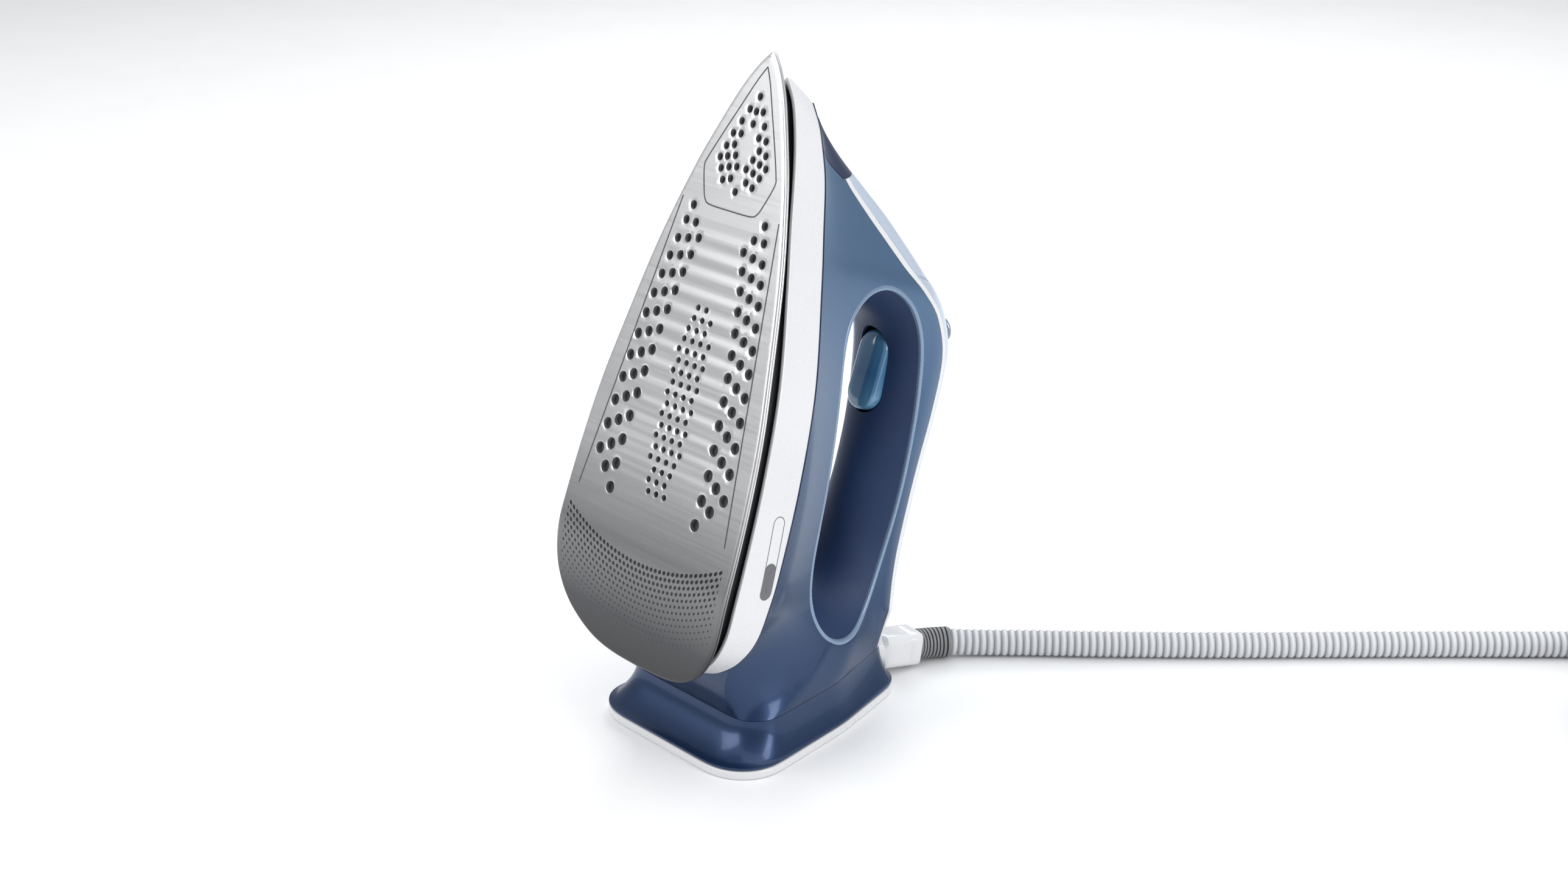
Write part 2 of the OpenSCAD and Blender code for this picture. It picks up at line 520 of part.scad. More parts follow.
module hose_clamp() color("dimgray") difference() {
    union() {
        along_boot() translate([-9.6, -12, -7.5]) cube([17.6, 24, 7.4]);
        translate([-7, clamp_y - 4, rim_h + 0.05]) cube([27.5, 8, clamp_top - rim_h - 0.05]);
    }
    boot_bore(boot_r - 2.5);
    for (s = [-1, 1]) translate([clamp_x(s), clamp_y, 0]) {
        cylinder(h = 30, r = 1.6);
        translate([0, 0, clamp_top]) cylinder(h = 20, r = 2.6);
    }
    translate([base_screw_at[1][0], base_screw_at[1][1], 0]) {
        cylinder(h = 14, r = 4);
        translate([0, -1.4, 0]) cube([12, 2.8, 14]);
    }
}
module clamp_screws() color("silver") for (s = [-1, 1]) translate([clamp_x(s), clamp_y, 0]) {
    translate([0, 0, 1.4]) cylinder(h = clamp_top, r = 1.5);
    translate([0, 0, clamp_top + 0.05]) cylinder(h = 1.6, r = 2.3);
}
module hose_boot() color("white") along_boot() difference() {
    union() {
        translate([0, 0, 0.2]) cylinder(h = 15.3, r = boot_r);
        translate([0, 0, 15.4]) linear_extrude(norm(boot_to - boot_from) - 15.4) boot_outline();
    }
    translate([0, 0, -1]) cylinder(h = 60, r = 4.5);
}
module boot_outline() intersection() {
    square([15.6, 15.6], center = true);
    circle(9.6);
}
sleeve_path = smooth([boot_to + [0.03, 0.2, -0.03], [13, 83, 8], [15.2, 89, 7.4], [18.5, 95, 7.1]], 2);
module bend_sleeve() color("gray") tube(sleeve_path, 6.9, 12);
hose_r = hose_d / 2;
hose_path = smooth([[18.6, 95.15, 7], [22, 99.5, 6.7], [26.5, 105, 6.4], [33, 112.5, 6.2], [44, 124.5, 6.2], [62, 143, 6.2],
    [84, 166.5, 6.2], [108, 193, 6.2], [135, 224, 6.2], [162, 255, 6.2], [188, 284, 6.2], [212, 310, 6.2],
    [242, 333.5, 6.2], [277, 352, 6.2]], 3);
module steam_hose() color("lightgray") tube(hose_path, hose_r, 10);
coil_at = [309, 290];
module hose_coil() color("lightgray") translate([coil_at[0], coil_at[1], 0.2]) rotate_extrude($fn = 64)
    translate([coil_r - hose_d - 0.2, 0]) square([2 * hose_d + 0.4, 2 * hose_d]);
plug_z = 2 * hose_d + 0.3;
module hose_connector() color("dimgray") translate([coil_at[0] + coil_r, coil_at[1], plug_z + 11])
    rotate([90, 0, 0]) difference() {
        union() {
            translate([0, 0, -24]) cylinder(h = 14, r = 7.5);
            translate([0, 0, -10]) cylinder(h = 24, r = 11);
            translate([0, 0, 14]) cylinder(h = 3, r = 9);
            translate([0, 0, 17]) cylinder(h = 9, r = 6);
        }
        translate([0, 0, 8]) cylinder(h = 20, r = 3);
    }

soleplate();
steam_chamber();
heating_element();
chamber_gasket();
chamber_cover();
cover_screws();
thermostat();
thermal_fuse();
inlet_fitting();
heat_shield();
skirt();
shield_screws();
main_housing();
nose_insert();
stripe_trim();
spine_cover();
grip_shell();
handle_chassis();
trigger();
trigger_pin();
trigger_spring();
trigger_switch();
trigger_plunger();
control_board();
button();
button_spring();
button_switch();
button_plunger();
wiring_loom();
steam_tube();
heel_foot();
base_plate();
base_screws();
hose_clamp();
clamp_screws();
hose_boot();
bend_sleeve();
steam_hose();
hose_coil();
hose_connector();
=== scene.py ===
"""Steam-station clothes iron on its heel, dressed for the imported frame. Metres, row frame.

Most shells are drawn in the iron's own frame (x, w, v) in millimetres: w is the height above
the soleplate's face and v runs along the soleplate from heel to tip. place() turns it to metres.
"""
import math

import bmesh
import bpy
import numpy as np
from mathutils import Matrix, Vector
from mathutils.geometry import delaunay_2d_cdt


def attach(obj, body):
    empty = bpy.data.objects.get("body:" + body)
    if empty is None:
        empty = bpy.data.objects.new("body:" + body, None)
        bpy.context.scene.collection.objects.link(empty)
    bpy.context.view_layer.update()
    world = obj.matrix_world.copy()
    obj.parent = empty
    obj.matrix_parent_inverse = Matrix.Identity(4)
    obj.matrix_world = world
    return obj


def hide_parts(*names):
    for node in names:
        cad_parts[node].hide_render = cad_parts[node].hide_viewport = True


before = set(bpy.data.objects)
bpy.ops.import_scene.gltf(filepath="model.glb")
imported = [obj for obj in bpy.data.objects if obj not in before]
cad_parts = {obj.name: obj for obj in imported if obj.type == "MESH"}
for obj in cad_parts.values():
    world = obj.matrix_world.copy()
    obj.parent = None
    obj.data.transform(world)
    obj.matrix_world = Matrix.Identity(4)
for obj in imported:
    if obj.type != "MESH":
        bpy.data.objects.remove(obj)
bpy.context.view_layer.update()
ROOT = "iron"

# ---- stance, as in the CAD ------------------------------------------------------------
TILT = math.radians(20.4)
SOLE_Y = -100.5
SKIRT_LOW, SKIRT_HIGH = 9.0, 29.0
RIM_H, SEAM_Z = 4.0, 21.0
STRIPE_DEEP, STRIPE_W = 14.2, 3.0
SEAM = 0.25
LOFT_BASE, LOFT_RISE, LOFT_EASE = 5, 23.75, 1.3
BOOT_ROOT, BOOT_MOUTH = np.array([7, 44, 14.2]), np.array([12, 78, 8.8])
TIP_V = 304


def place(p):
    """Iron frame (x, w, v) in mm to the row frame in metres."""
    p = np.asarray(p, float)
    x, w, v = p[..., 0], p[..., 1], p[..., 2]
    c, s = math.cos(TILT), math.sin(TILT)
    return np.stack([x, SOLE_Y + w * c + v * s, v * c - w * s], -1) / 1000


def to_iron(p):
    """Row frame in mm to the iron frame."""
    c, s = math.cos(TILT), math.sin(TILT)
    y = p[..., 1] - SOLE_Y
    return np.stack([p[..., 0], y * c - p[..., 2] * s, y * s + p[..., 2] * c], -1)


# ---- camera ---------------------------------------------------------------------------
camera = bpy.data.objects.new("camera", bpy.data.cameras.new("camera"))
bpy.context.scene.collection.objects.link(camera)
camera.location = (0.6949, -0.6069, 0.4763)
camera.rotation_euler = (math.radians(90 - 20.97), 0, math.radians(48.32))
camera.data.lens = 54.784
camera.data.sensor_width = 36
camera.data.clip_start = 0.02
bpy.context.scene.camera = camera


# ---- curves ---------------------------------------------------------------------------
def smooth(points, n):
    """Catmull-Rom through the points, n steps a span."""
    p = np.asarray(points, float)
    q = np.vstack([p[:1], p, p[-1:]])
    t = (np.arange(n) / n)[:, None]
    out = [
        0.5 * (2 * b + (c - a) * t + (2 * a - 5 * b + 4 * c - d) * t**2 + (3 * b - a - 3 * c + d) * t**3)
        for a, b, c, d in zip(q, q[1:], q[2:], q[3:])
    ]
    return np.vstack(out + [p[-1:]])


def smooth_loop(points, n):
    """The same for a closed line."""
    p = np.asarray(points, float)
    return smooth(np.vstack([p[-1:], p, p[:2]]), n)[n : -1 - n]


def spaced(points, count, closed=False):
    """The same line with count points at equal distances."""
    p = np.vstack([points, points[:1]]) if closed else np.asarray(points)
    s = np.r_[0, np.cumsum(np.linalg.norm(np.diff(p, axis=0), axis=1))]
    at = np.linspace(0, s[-1], count + 1)[:-1] if closed else np.linspace(0, s[-1], count)
    return np.stack([np.interp(at, s, p[:, i]) for i in range(p.shape[1])], 1)


def softly(loop, times):
    """A closed run of points or numbers, each eased towards its neighbours."""
    for _ in range(times):
        loop = (np.roll(loop, 1, 0) + 2 * loop + np.roll(loop, -1, 0)) / 4
    return loop


def whole(half):
    """The closed outline of a right half that starts and ends on the centre line."""
    other = half.copy()
    other[:, 0] *= -1
    return np.vstack([half, other[-2:0:-1]])


def raised(loop, w):
    """Points (x, w, v) of an (x, v) line at a height or heights."""
    return np.stack([loop[:, 0], np.broadcast_to(w, len(loop)), loop[:, 1]], 1)


def inwards(loop, centre):
    """Unit directions from a closed outline to its inner side."""
    t = np.roll(loop, -1, 0) - np.roll(loop, 1, 0)
    t /= np.linalg.norm(t, axis=1)[:, None]
    n = np.stack([-t[:, 1], t[:, 0]], 1)
    return n * np.sign(((np.array(centre) - loop) * n).sum(1))[:, None]


# Half outlines [x, v] of the soleplate and of the skirt's lower and upper edge, the back's line [v, w],
# the half width of the back [v, x], and the recess and finger gap [w, v].
SOLE_SIDE = smooth([[0, 50], [16, 50.6], [28, 53], [38, 58.5], [45.5, 66], [50.8, 77], [53.2, 91], [53.5, 106],
    [52.4, 131], [50, 156], [46.2, 178], [37.6, 219], [27.6, 252], [20.4, 270], [12.6, 287], [6, 297.5], [0, 304]], 10)
SKIRT_FOOT = smooth([[0, 55], [15, 55.5], [27, 57.5], [36, 62], [43.5, 69], [49.5, 80], [52, 93], [52, 108],
    [50, 142], [45, 179], [34, 219], [26, 243], [19, 263], [13, 278], [7, 290], [0, 298]], 10)
SKIRT_HEAD = smooth([[0, 55], [15, 55.5], [28, 57.5], [35.5, 61], [43, 67.5], [49, 78], [51, 92], [51.4, 108],
    [49.5, 142], [44, 180], [32.5, 219], [25.5, 240], [18.6, 260], [12, 273], [7, 281], [0, 289]], 10)
SPINE = smooth([[88, 144.5], [120, 142.5], [150, 141], [178, 140.5], [202, 138], [216, 131], [225, 123],
    [234, 111], [244, 96.5], [254, 81], [261, 68], [271, 49], [279, 37], [286, 30.5]], 10)
RIDGE = smooth([[88, 24], [105, 21], [130, 20], [215, 20], [234, 17], [254, 12], [271, 8], [280, 5], [286, 2]], 10)
RING = spaced(smooth_loop([[53.5, 196], [56, 178], [63.6, 140], [68.5, 104], [74, 89], [83, 79], [94, 75.5],
    [105, 79], [113, 90], [118, 110], [119.5, 135], [117.5, 160], [113, 185], [106, 206], [95, 219],
    [80, 224], [66, 220], [56, 209]], 12), 168, closed=True)
HOLE = spaced(smooth_loop([[56.3, 196], [58.8, 178], [66.4, 140], [71.5, 106], [78, 94], [88, 90], [97, 95],
    [102, 106], [103.5, 125], [103.5, 172], [101, 196], [94, 208], [80, 213.5], [66, 212], [58.5, 206]], 12), 400,
    closed=True)


def curl(v):
    """How far the sole's face has risen at v."""
    return 15 * (np.maximum(0, 100 - v) / 50) ** 1.8


def spine(v):
    """Height w of the back at v."""
    return np.interp(v, SPINE[:, 0], SPINE[:, 1])


def back_line(depth):
    """[v, w] of the line that lies depth below the back of the body."""
    d = depth
    return smooth([[30, 134 - d], [60, 143 - d], [88, 144.5 - d], [120, 142.5 - d], [150, 141 - d],
        [178, 140.5 - d], [200, 138.3 - d * 1.05], [216, 131 - d * 1.2], [225, 123 - d * 1.45],
        [234, 111 - d * 1.65], [243, 98 - d * 1.68], [252, 84 - d * 1.62], [261, 68 - d * 1.35],
        [267, 56.5 - d * 0.9], [272, 47 - d * 0.5], [280, 36 - d * 0.4], [290, 20 - d * 0.4]], 8)


def body_half(v, t):
    """Half width of the body at v, where t runs from the skirt (0) to the back (1)."""
    h = spine(v) - SKIRT_HIGH
    low = np.interp(v, SKIRT_HEAD[:, 1], SKIRT_HEAD[:, 0])
    top = max(float(np.interp(v, RIDGE[:, 0], RIDGE[:, 1])), 0.6)
    part = min(0.5, 23 / h)
    s = np.maximum(0, (t - 1 + part) / part)
    wide = top + (max(low, top) - top) * (1 - t) ** 2.6
    return wide * np.sqrt(np.maximum(0, 1 - s**2.3))


FOOT_SIDE, FOOT_FRONT, FOOT_CORNER = 49.5, 57, 20.0
# where the body's section positions 0 to 1 meet the foot outline's points 2 to 12
MARKS = [0, 0.12, 0.25, 0.4, 0.55, 0.68, 0.79, 0.88, 0.945, 0.985, 1]


def arc(centre, radius, turns):
    """Points of a circle at the given degrees."""
    return [[centre[0] + radius * math.cos(math.radians(a)), centre[1] + radius * math.sin(math.radians(a))]
        for a in turns]


def foot_points(d, f):
    """The foot's half outline, drawn in by d at the sides and f at the front."""
    corner = (FOOT_SIDE - FOOT_CORNER, FOOT_CORNER - FOOT_FRONT + f - d)
    front = arc(corner, FOOT_CORNER - d, (-90, -68, -45, -22, 0))
    rear = arc((14.5 - d / 2, 41.5), 16 - d / 2, (8, 30, 52, 76))
    mid = [[(30.5 - d / 2) * 0.45 + (FOOT_SIDE - d) * 0.55, 10]]
    return np.array([[0, f - FOOT_FRONT], [9, f - FOOT_FRONT]] + front + mid + rear + [[0, 57.5 - d / 2]])


def foot_at(index, d, f):
    """Points of the rounded foot outline at fractional positions 0 to 12."""
    p = foot_points(d, f)
    line = softly(whole(spaced(p, 200)), 30)[:200]
    run = np.r_[0, np.cumsum(np.linalg.norm(np.diff(line, axis=0), axis=1))]
    stops = [run[np.argmin(np.linalg.norm(line - q, axis=1))] for q in p]
    stops[0], stops[-1] = 0, run[-1]
    at = np.interp(index, np.arange(13), stops)
    return np.stack([np.interp(at, run, line[:, 0]), np.interp(at, run, line[:, 1])], -1)


def section(row, t):
    """Right half of the body's section: (x, w, v) for t from -1 (under the heel) to 1 (the back)."""
    kind, value = row
    v = value if kind == "body" else 88.0
    up = np.maximum(t, 0)
    low = float(body_half(v, np.array([0.0]))[0])
    x = np.where(t < 0, low * np.interp(t, [-1, -0.5, 0], [0, 0.6, 1]), body_half(v, up))
    w = SKIRT_HIGH + (spine(v) - SKIRT_HIGH) * up
    a = np.stack([x, w, np.full_like(w, v)], -1)
    if kind == "body":
        return a
    k = value
    at = np.where(t < 0, 2 + 2 * t, np.interp(t, MARKS, range(2, 13)))
    ground = foot_at(at, 7, 14)
    b = to_iron(np.stack([ground[:, 0], ground[:, 1], np.full(len(ground), SEAM_Z)], -1))
    late = k ** (1 + 2.5 * np.maximum(0, (144 - a[:, 1]) / 115) ** 2)
    wide = 1 - (1 - k) ** 1.5
    return np.stack([a[:, 0] + (b[:, 0] - a[:, 0]) * wide, a[:, 1] + (b[:, 1] - a[:, 1]) * late,
        a[:, 2] + (b[:, 2] - a[:, 2]) * k], -1)


ROWS = [("neck", k) for k in np.linspace(1, 0.03, 40)] + [("body", v) for v in np.r_[
    np.linspace(88, 262, 88), np.linspace(263.5, 284, 16)]]
T_ALL = np.r_[np.linspace(-1, 0, 13)[:-1], np.linspace(0, 0.78, 44)[:-1],
    0.78 + 0.22 * np.sin(np.linspace(0, math.pi / 2, 34))]


# ---- mesh helpers ---------------------------------------------------------------------
def quads(rows, cols, wrap=False):
    """Faces of a grid of points stored row by row."""
    last = cols if wrap else cols - 1
    return [(r * cols + c, r * cols + (c + 1) % cols, (r + 1) * cols + (c + 1) % cols, (r + 1) * cols + c)
        for r in range(rows - 1) for c in range(last)]


def tube_faces(rows, cols):
    """Faces of a grid that closes round its columns, with a cap at each end."""
    return quads(rows, cols, wrap=True) + [tuple(range(cols)), tuple(range((rows - 1) * cols, rows * cols))]


def shifted(faces, base):
    """Faces of points that are stored after base others."""
    return [tuple(i + base for i in f) for f in faces]


def mesh_from(name, points, faces, angle=35, marks=None):
    """A smooth-shaded mesh; marks are named floats, one a vertex."""
    mesh = bpy.data.meshes.new(name)
    mesh.from_pydata([tuple(p) for p in np.reshape(points, (-1, 3))], [], [tuple(int(i) for i in f) for f in faces])
    for key, values in (marks or {}).items():
        layer = mesh.attributes.new(key, "FLOAT", "POINT")
        layer.data.foreach_set("value", np.asarray(values, np.float32))
    finish_mesh(mesh, angle)
    return mesh


def finish_mesh(mesh, angle=35):
    """Weld, face outwards and shade smooth up to the angle."""
    bm = bmesh.new()
    bm.from_mesh(mesh)
    bmesh.ops.remove_doubles(bm, verts=bm.verts, dist=1e-6)
    bmesh.ops.recalc_face_normals(bm, faces=bm.faces)
    bm.to_mesh(mesh)
    bm.free()
    mesh.shade_smooth()
    mesh.set_sharp_from_angle(angle=math.radians(angle))
    mesh.update()


def piece(name, mesh, material, nodes=(), body=ROOT):
    """A new piece that rides on a body and stands for CAD nodes."""
    obj = bpy.data.objects.new(name, mesh)
    bpy.context.scene.collection.objects.link(obj)
    obj.data.materials.clear()
    obj.data.materials.append(material)
    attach(obj, body)
    if nodes:
        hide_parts(*nodes)
    return obj


def cut(mesh, operation, *cutters, angle=30):
    """Boolean of a mesh with solid meshes, one after another."""
    for cutter in cutters:
        tool, work = (bpy.data.objects.new(name, data) for name, data in (("tool", cutter), ("work", mesh)))
        for obj in (tool, work):
            bpy.context.scene.collection.objects.link(obj)
        mod = work.modifiers.new("BOOLEAN", "BOOLEAN")
        mod.object, mod.operation, mod.solver = tool, operation, "EXACT"
        deps = bpy.context.evaluated_depsgraph_get()
        mesh = bpy.data.meshes.new_from_object(work.evaluated_get(deps))
        bpy.data.objects.remove(work)
        bpy.data.objects.remove(tool)
    finish_mesh(mesh, angle)
    return mesh


def prism(outline):
    """Solid along X, wider than the iron, over a closed [w, v] outline."""
    n = len(outline)
    a = place(np.array([[0, w, v] for w, v in outline]))
    b = a.copy()
    a[:, 0], b[:, 0] = -0.07, 0.07
    return mesh_from("prism", np.vstack([a, b]), [tuple(range(n)), tuple(range(2 * n - 1, n - 1, -1))]
        + [(i, i + n, (i + 1) % n + n, (i + 1) % n) for i in range(n)])


def grown(loop, d):
    """A closed outline moved outwards by d."""
    t = np.roll(loop, -1, 0) - np.roll(loop, 1, 0)
    t /= np.linalg.norm(t, axis=1)[:, None]
    area = np.sum(loop[:, 0] * np.roll(loop[:, 1], -1) - np.roll(loop[:, 0], -1) * loop[:, 1])
    return loop + d * math.copysign(1, area) * np.stack([t[:, 1], -t[:, 0]], 1)


def frames(path):
    """Two steady cross directions along a path."""
    t = np.gradient(path, axis=0)
    t /= np.linalg.norm(t, axis=1)[:, None]
    side = np.cross(t[0], [0, 0, 1.0])
    side /= np.linalg.norm(side)
    sides = []
    for d in t:
        side = side - d * np.dot(side, d)
        side /= np.linalg.norm(side)
        sides.append(side)
    sides = np.array(sides)
    return sides, np.cross(t, sides)


def swept(name, path, radii, sides, groove, angle):
    """A round tube with a radius and a groove level at each path point, which the material turns into painted shade.
    """
    u, w = frames(path)
    turn = np.linspace(0, 2 * math.pi, sides, endpoint=False)
    ring = np.cos(turn)[None, :, None] * u[:, None] + np.sin(turn)[None, :, None] * w[:, None]
    points = path[:, None] + ring * np.asarray(radii)[:, None, None]
    marks = {"groove": np.repeat(groove, sides)}
    return mesh_from(name, points, tube_faces(len(path), sides), angle, marks)


def lathe(name, profile, origin, axis, sides=48, angle=35):
    """Solid of revolution: profile is (distance along axis, radius) in metres."""
    axis = np.asarray(axis, float) / np.linalg.norm(axis)
    u = np.cross(axis, [1.0, 0, 0] if abs(axis[0]) < 0.9 else [0, 1.0, 0])
    u /= np.linalg.norm(u)
    w = np.cross(axis, u)
    turn = np.linspace(0, 2 * math.pi, sides, endpoint=False)
    ring = np.cos(turn)[:, None] * u + np.sin(turn)[:, None] * w
    points = [np.asarray(origin) + axis * a + ring * max(r, 1e-5) for a, r in profile]
    return mesh_from(name, points, tube_faces(len(profile), sides), angle)


# ---- node materials -------------------------------------------------------------------
def shader(name, color, rough, metal=0.0, coat=0.0, coat_rough=0.12):
    """A Principled material; returns it with its node tree and its shader."""
    mat = bpy.data.materials.new(name)
    mat.use_nodes = True
    tree = mat.node_tree
    tree.nodes.clear()
    out = tree.nodes.new("ShaderNodeOutputMaterial")
    bsdf = tree.nodes.new("ShaderNodeBsdfPrincipled")
    tree.links.new(bsdf.outputs["BSDF"], out.inputs["Surface"])
    for key, value in (("Base Color", (*color, 1)), ("Roughness", rough), ("Metallic", metal),
            ("Coat Weight", coat), ("Coat Roughness", coat_rough)):
        bsdf.inputs[key].default_value = value
    return mat, tree, bsdf


def node(tree, kind, settings=None, **inputs):
    """A new shader node; inputs go by name, or as i0, i1 and so on by number."""
    n = tree.nodes.new("ShaderNode" + kind)
    for key, value in (settings or {}).items():
        setattr(n, key, value)
    for key, value in inputs.items():
        socket = n.inputs[int(key[1:])] if key[0] == "i" and key[1:].isdigit() else n.inputs[key]
        if isinstance(value, bpy.types.NodeSocket):
            tree.links.new(value, socket)
        else:
            socket.default_value = value
    return n


def object_point(tree):
    return node(tree, "TexCoord").outputs["Object"]


def noise(tree, at, scale, detail):
    return node(tree, "TexNoise", Vector=at, Scale=scale, Detail=detail).outputs["Fac"]


def span(tree, value, low, high, out_low=0.0, out_high=1.0):
    return node(tree, "MapRange", i0=value, i1=low, i2=high, i3=out_low, i4=out_high).outputs[0]


def mix(tree, amount, a, b, blend="MIX"):
    return node(tree, "Mix", dict(data_type="RGBA", blend_type=blend), i0=amount, i6=a, i7=b).outputs[2]


def own_axes(tree):
    """The iron frame's coordinates in metres, and their X and V."""
    moved = node(tree, "VectorMath", dict(operation="SUBTRACT"), i0=object_point(tree), i1=(0, SOLE_Y / 1000, 0))
    turned = node(tree, "VectorRotate", dict(rotation_type="X_AXIS"), Vector=moved.outputs[0], Angle=TILT)
    split = node(tree, "SeparateXYZ", i0=turned.outputs[0])
    return turned.outputs[0], split.outputs[0], split.outputs[2]


def ramp(tree, value, stops):
    """Colours or grey levels at positions 0 to 1."""
    r = node(tree, "ValToRGB", i0=value)
    while len(r.color_ramp.elements) < len(stops):
        r.color_ramp.elements.new(0.5)
    for e, (at, c) in zip(r.color_ramp.elements, stops):
        e.position = at
        e.color = (c, c, c, 1) if isinstance(c, (int, float)) else (*c, 1)
    return r.outputs[0]


def dress(tree, bsdf, color, value, rough, relief, height=None, over=(0.3, 0.7)):
    """Link the colour, a roughness that follows the value, and a bump of (strength, distance)."""
    tree.links.new(color, bsdf.inputs["Base Color"])
    if rough:
        tree.links.new(span(tree, value, *over, *rough), bsdf.inputs["Roughness"])
    raised = node(tree, "Bump", i0=relief[0], Distance=relief[1], Height=value if height is None else height)
    tree.links.new(raised.outputs[0], bsdf.inputs["Normal"])


def grained(name, color, rough, scale=900, depth=0.00004, spread=0.05, variation=0.06, **looks):
    """Moulded plastic or cast metal: fine grain, small changes of tone and gloss."""
    mat, tree, bsdf = shader(name, color, rough, **looks)
    at = object_point(tree)
    fine = noise(tree, at, scale, 3.0)
    dark = tuple(max(0, c * (1 - variation)) for c in color)
    light = tuple(min(1, c * (1 + variation)) for c in color)
    tone = ramp(tree, noise(tree, at, 14.0, 2.0), [(0.3, dark), (0.7, light)])
    dress(tree, bsdf, tone, fine, (rough - spread, rough + spread), (0.25, depth))
    return mat


def brushed(name, color, rough):
    """Drawn metal with streaks along Z."""
    mat, tree, bsdf = shader(name, color, rough, 1.0)
    stretched = node(tree, "Mapping", Vector=object_point(tree), Scale=(900.0, 900.0, 25.0)).outputs[0]
    streak = noise(tree, stretched, 1.0, 4.0)
    tone = ramp(tree, streak, [(0.3, tuple(c * 0.82 for c in color)), (0.7, color)])
    dress(tree, bsdf, tone, streak, (rough - 0.08, rough + 0.1), (0.15, 0.00003))
    return mat


def sole_material():
    """Satin plate with painted shade, near black at the heel where it curls up away from the light and bright at the
    tip; an etched band of dots and vents darkened with painted shade.
    """
    mat, tree, bsdf = shader("sole_metal", (0.62, 0.62, 0.63), 0.3, 0.85)
    turned, x, v = own_axes(tree)

    def calc(operation, a, b=0.0, clamp=False):
        return node(tree, "Math", dict(operation=operation, use_clamp=clamp), i0=a, i1=b).outputs[0]

    # painted shade: the plate's colour runs from near black at the heel, where it curls up, to bright at the tip
    painted_plate_shade = ramp(tree, span(tree, v, 0.05, 0.31), [(0.0, (0.04, 0.04, 0.043)), (0.07, (0.075, 0.075, 0.08)),
        (0.15, (0.20, 0.20, 0.205)), (0.23, (0.40, 0.40, 0.405)), (0.34, (0.66, 0.66, 0.665)),
        (1.0, (0.78, 0.78, 0.785))])
    # etched dots: rows that follow the heel's arc and shrink towards it
    pitch, rows, first_v, side_end = 0.0026, 12.0, 0.0945, 0.0492
    arc_v = calc("SUBTRACT", v, calc("MULTIPLY", calc("MULTIPLY", x, x), 4.9))
    row = calc("MULTIPLY", calc("SUBTRACT", first_v, arc_v), 1 / pitch)
    shift = calc("MULTIPLY", calc("MODULO", calc("FLOOR", row), 2.0), 0.5)
    column = calc("ADD", calc("MULTIPLY", x, 1 / pitch), shift)
    du, dv = (calc("SUBTRACT", calc("FRACT", c), 0.5) for c in (column, row))
    radius = calc("SQRT", calc("ADD", calc("MULTIPLY", du, du), calc("MULTIPLY", dv, dv)))
    size = span(tree, row, 0.0, rows, 0.4, 0.15)
    dot = calc("MULTIPLY", calc("SUBTRACT", size, radius), 12.0, clamp=True)
    inside = calc("MULTIPLY", calc("GREATER_THAN", row, 0.0), calc("LESS_THAN", row, rows))
    inside = calc("MULTIPLY", inside, calc("LESS_THAN", calc("ABSOLUTE", x), side_end))
    dot = calc("MULTIPLY", dot, inside)
    # fine grain across the plate
    streaks = node(tree, "Mapping", Vector=turned, Scale=(18.0, 900.0, 900.0)).outputs[0]
    grain = noise(tree, streaks, 1.0, 4.0)
    toned = mix(tree, 0.1, painted_plate_shade, ramp(tree, grain, [(0.25, 0.8), (0.75, 1.0)]), "MULTIPLY")
    marked = mix(tree, calc("MULTIPLY", dot, 0.95), toned, (0.035, 0.035, 0.037, 1))
    # painted shade: the vent attribute darkens the vents' hollows towards their bottoms, in colour and in metal
    vent = node(tree, "Attribute", dict(attribute_name="vent")).outputs["Fac"]
    deep = mix(tree, vent, marked, (0.07, 0.07, 0.073, 1))
    tree.links.new(calc("SUBTRACT", 0.9, calc("MULTIPLY", vent, 0.7)), bsdf.inputs["Metallic"])
    height = calc("SUBTRACT", calc("MULTIPLY", grain, 0.03), dot)
    dress(tree, bsdf, deep, grain, (0.27, 0.33), (0.35, 0.00012), height)
    return mat


def body_material():
    """Pearl blue lacquer with fine metallic flake; painted shade makes it darker towards the heel and lighter towards
    the tip.
    """
    mat, tree, bsdf = shader("blue_pearl", (0.13, 0.23, 0.38), 0.34, 0.6, 0.25, 0.08)
    flake = noise(tree, object_point(tree), 2600.0, 1.0)
    # painted shade and light: the lacquer darkens towards the heel and neck and lightens towards the tip
    base = ramp(tree, span(tree, own_axes(tree)[2], 0.02, 0.3), [(0.0, (0.014, 0.036, 0.10)),
        (0.2, (0.021, 0.054, 0.135)), (0.5, (0.06, 0.125, 0.24)), (1.0, (0.12, 0.22, 0.36))])
    flecked = mix(tree, 0.35, base, ramp(tree, flake, [(0.35, 0.78), (0.65, 1.0)]), "MULTIPLY")
    dress(tree, bsdf, flecked, flake, (0.28, 0.4), (0.04, 0.00002))
    return mat


def grip_material():
    """Soft-touch navy rubber-like paint."""
    mat, tree, bsdf = shader("navy_soft", (0.018, 0.04, 0.11), 0.5)
    bsdf.inputs["Specular IOR Level"].default_value = 0.3
    at = object_point(tree)
    cell = node(tree, "TexVoronoi", Vector=at, Scale=1500.0).outputs["Distance"]
    tone = ramp(tree, noise(tree, at, 20.0, 2.0), [(0.3, (0.013, 0.03, 0.085)), (0.7, (0.019, 0.042, 0.112))])
    dress(tree, bsdf, tone, cell, (0.42, 0.55), (0.2, 0.00005), over=(0.0, 0.6))
    return mat


def trigger_material():
    """Tinted clear plastic."""
    mat, tree, bsdf = shader("blue_clear", (0.10, 0.30, 0.52), 0.08, 0.0, 0.8)
    bsdf.inputs["Transmission Weight"].default_value = 0.35
    bsdf.inputs["IOR"].default_value = 1.49
    tone = ramp(tree, span(tree, own_axes(tree)[2], 0.168, 0.208), [(0.0, (0.16, 0.40, 0.60)),
        (0.45, (0.06, 0.21, 0.42)), (1.0, (0.13, 0.34, 0.56))])
    dress(tree, bsdf, tone, noise(tree, object_point(tree), 300.0, 2.0), None, (0.05, 0.00003))
    return mat


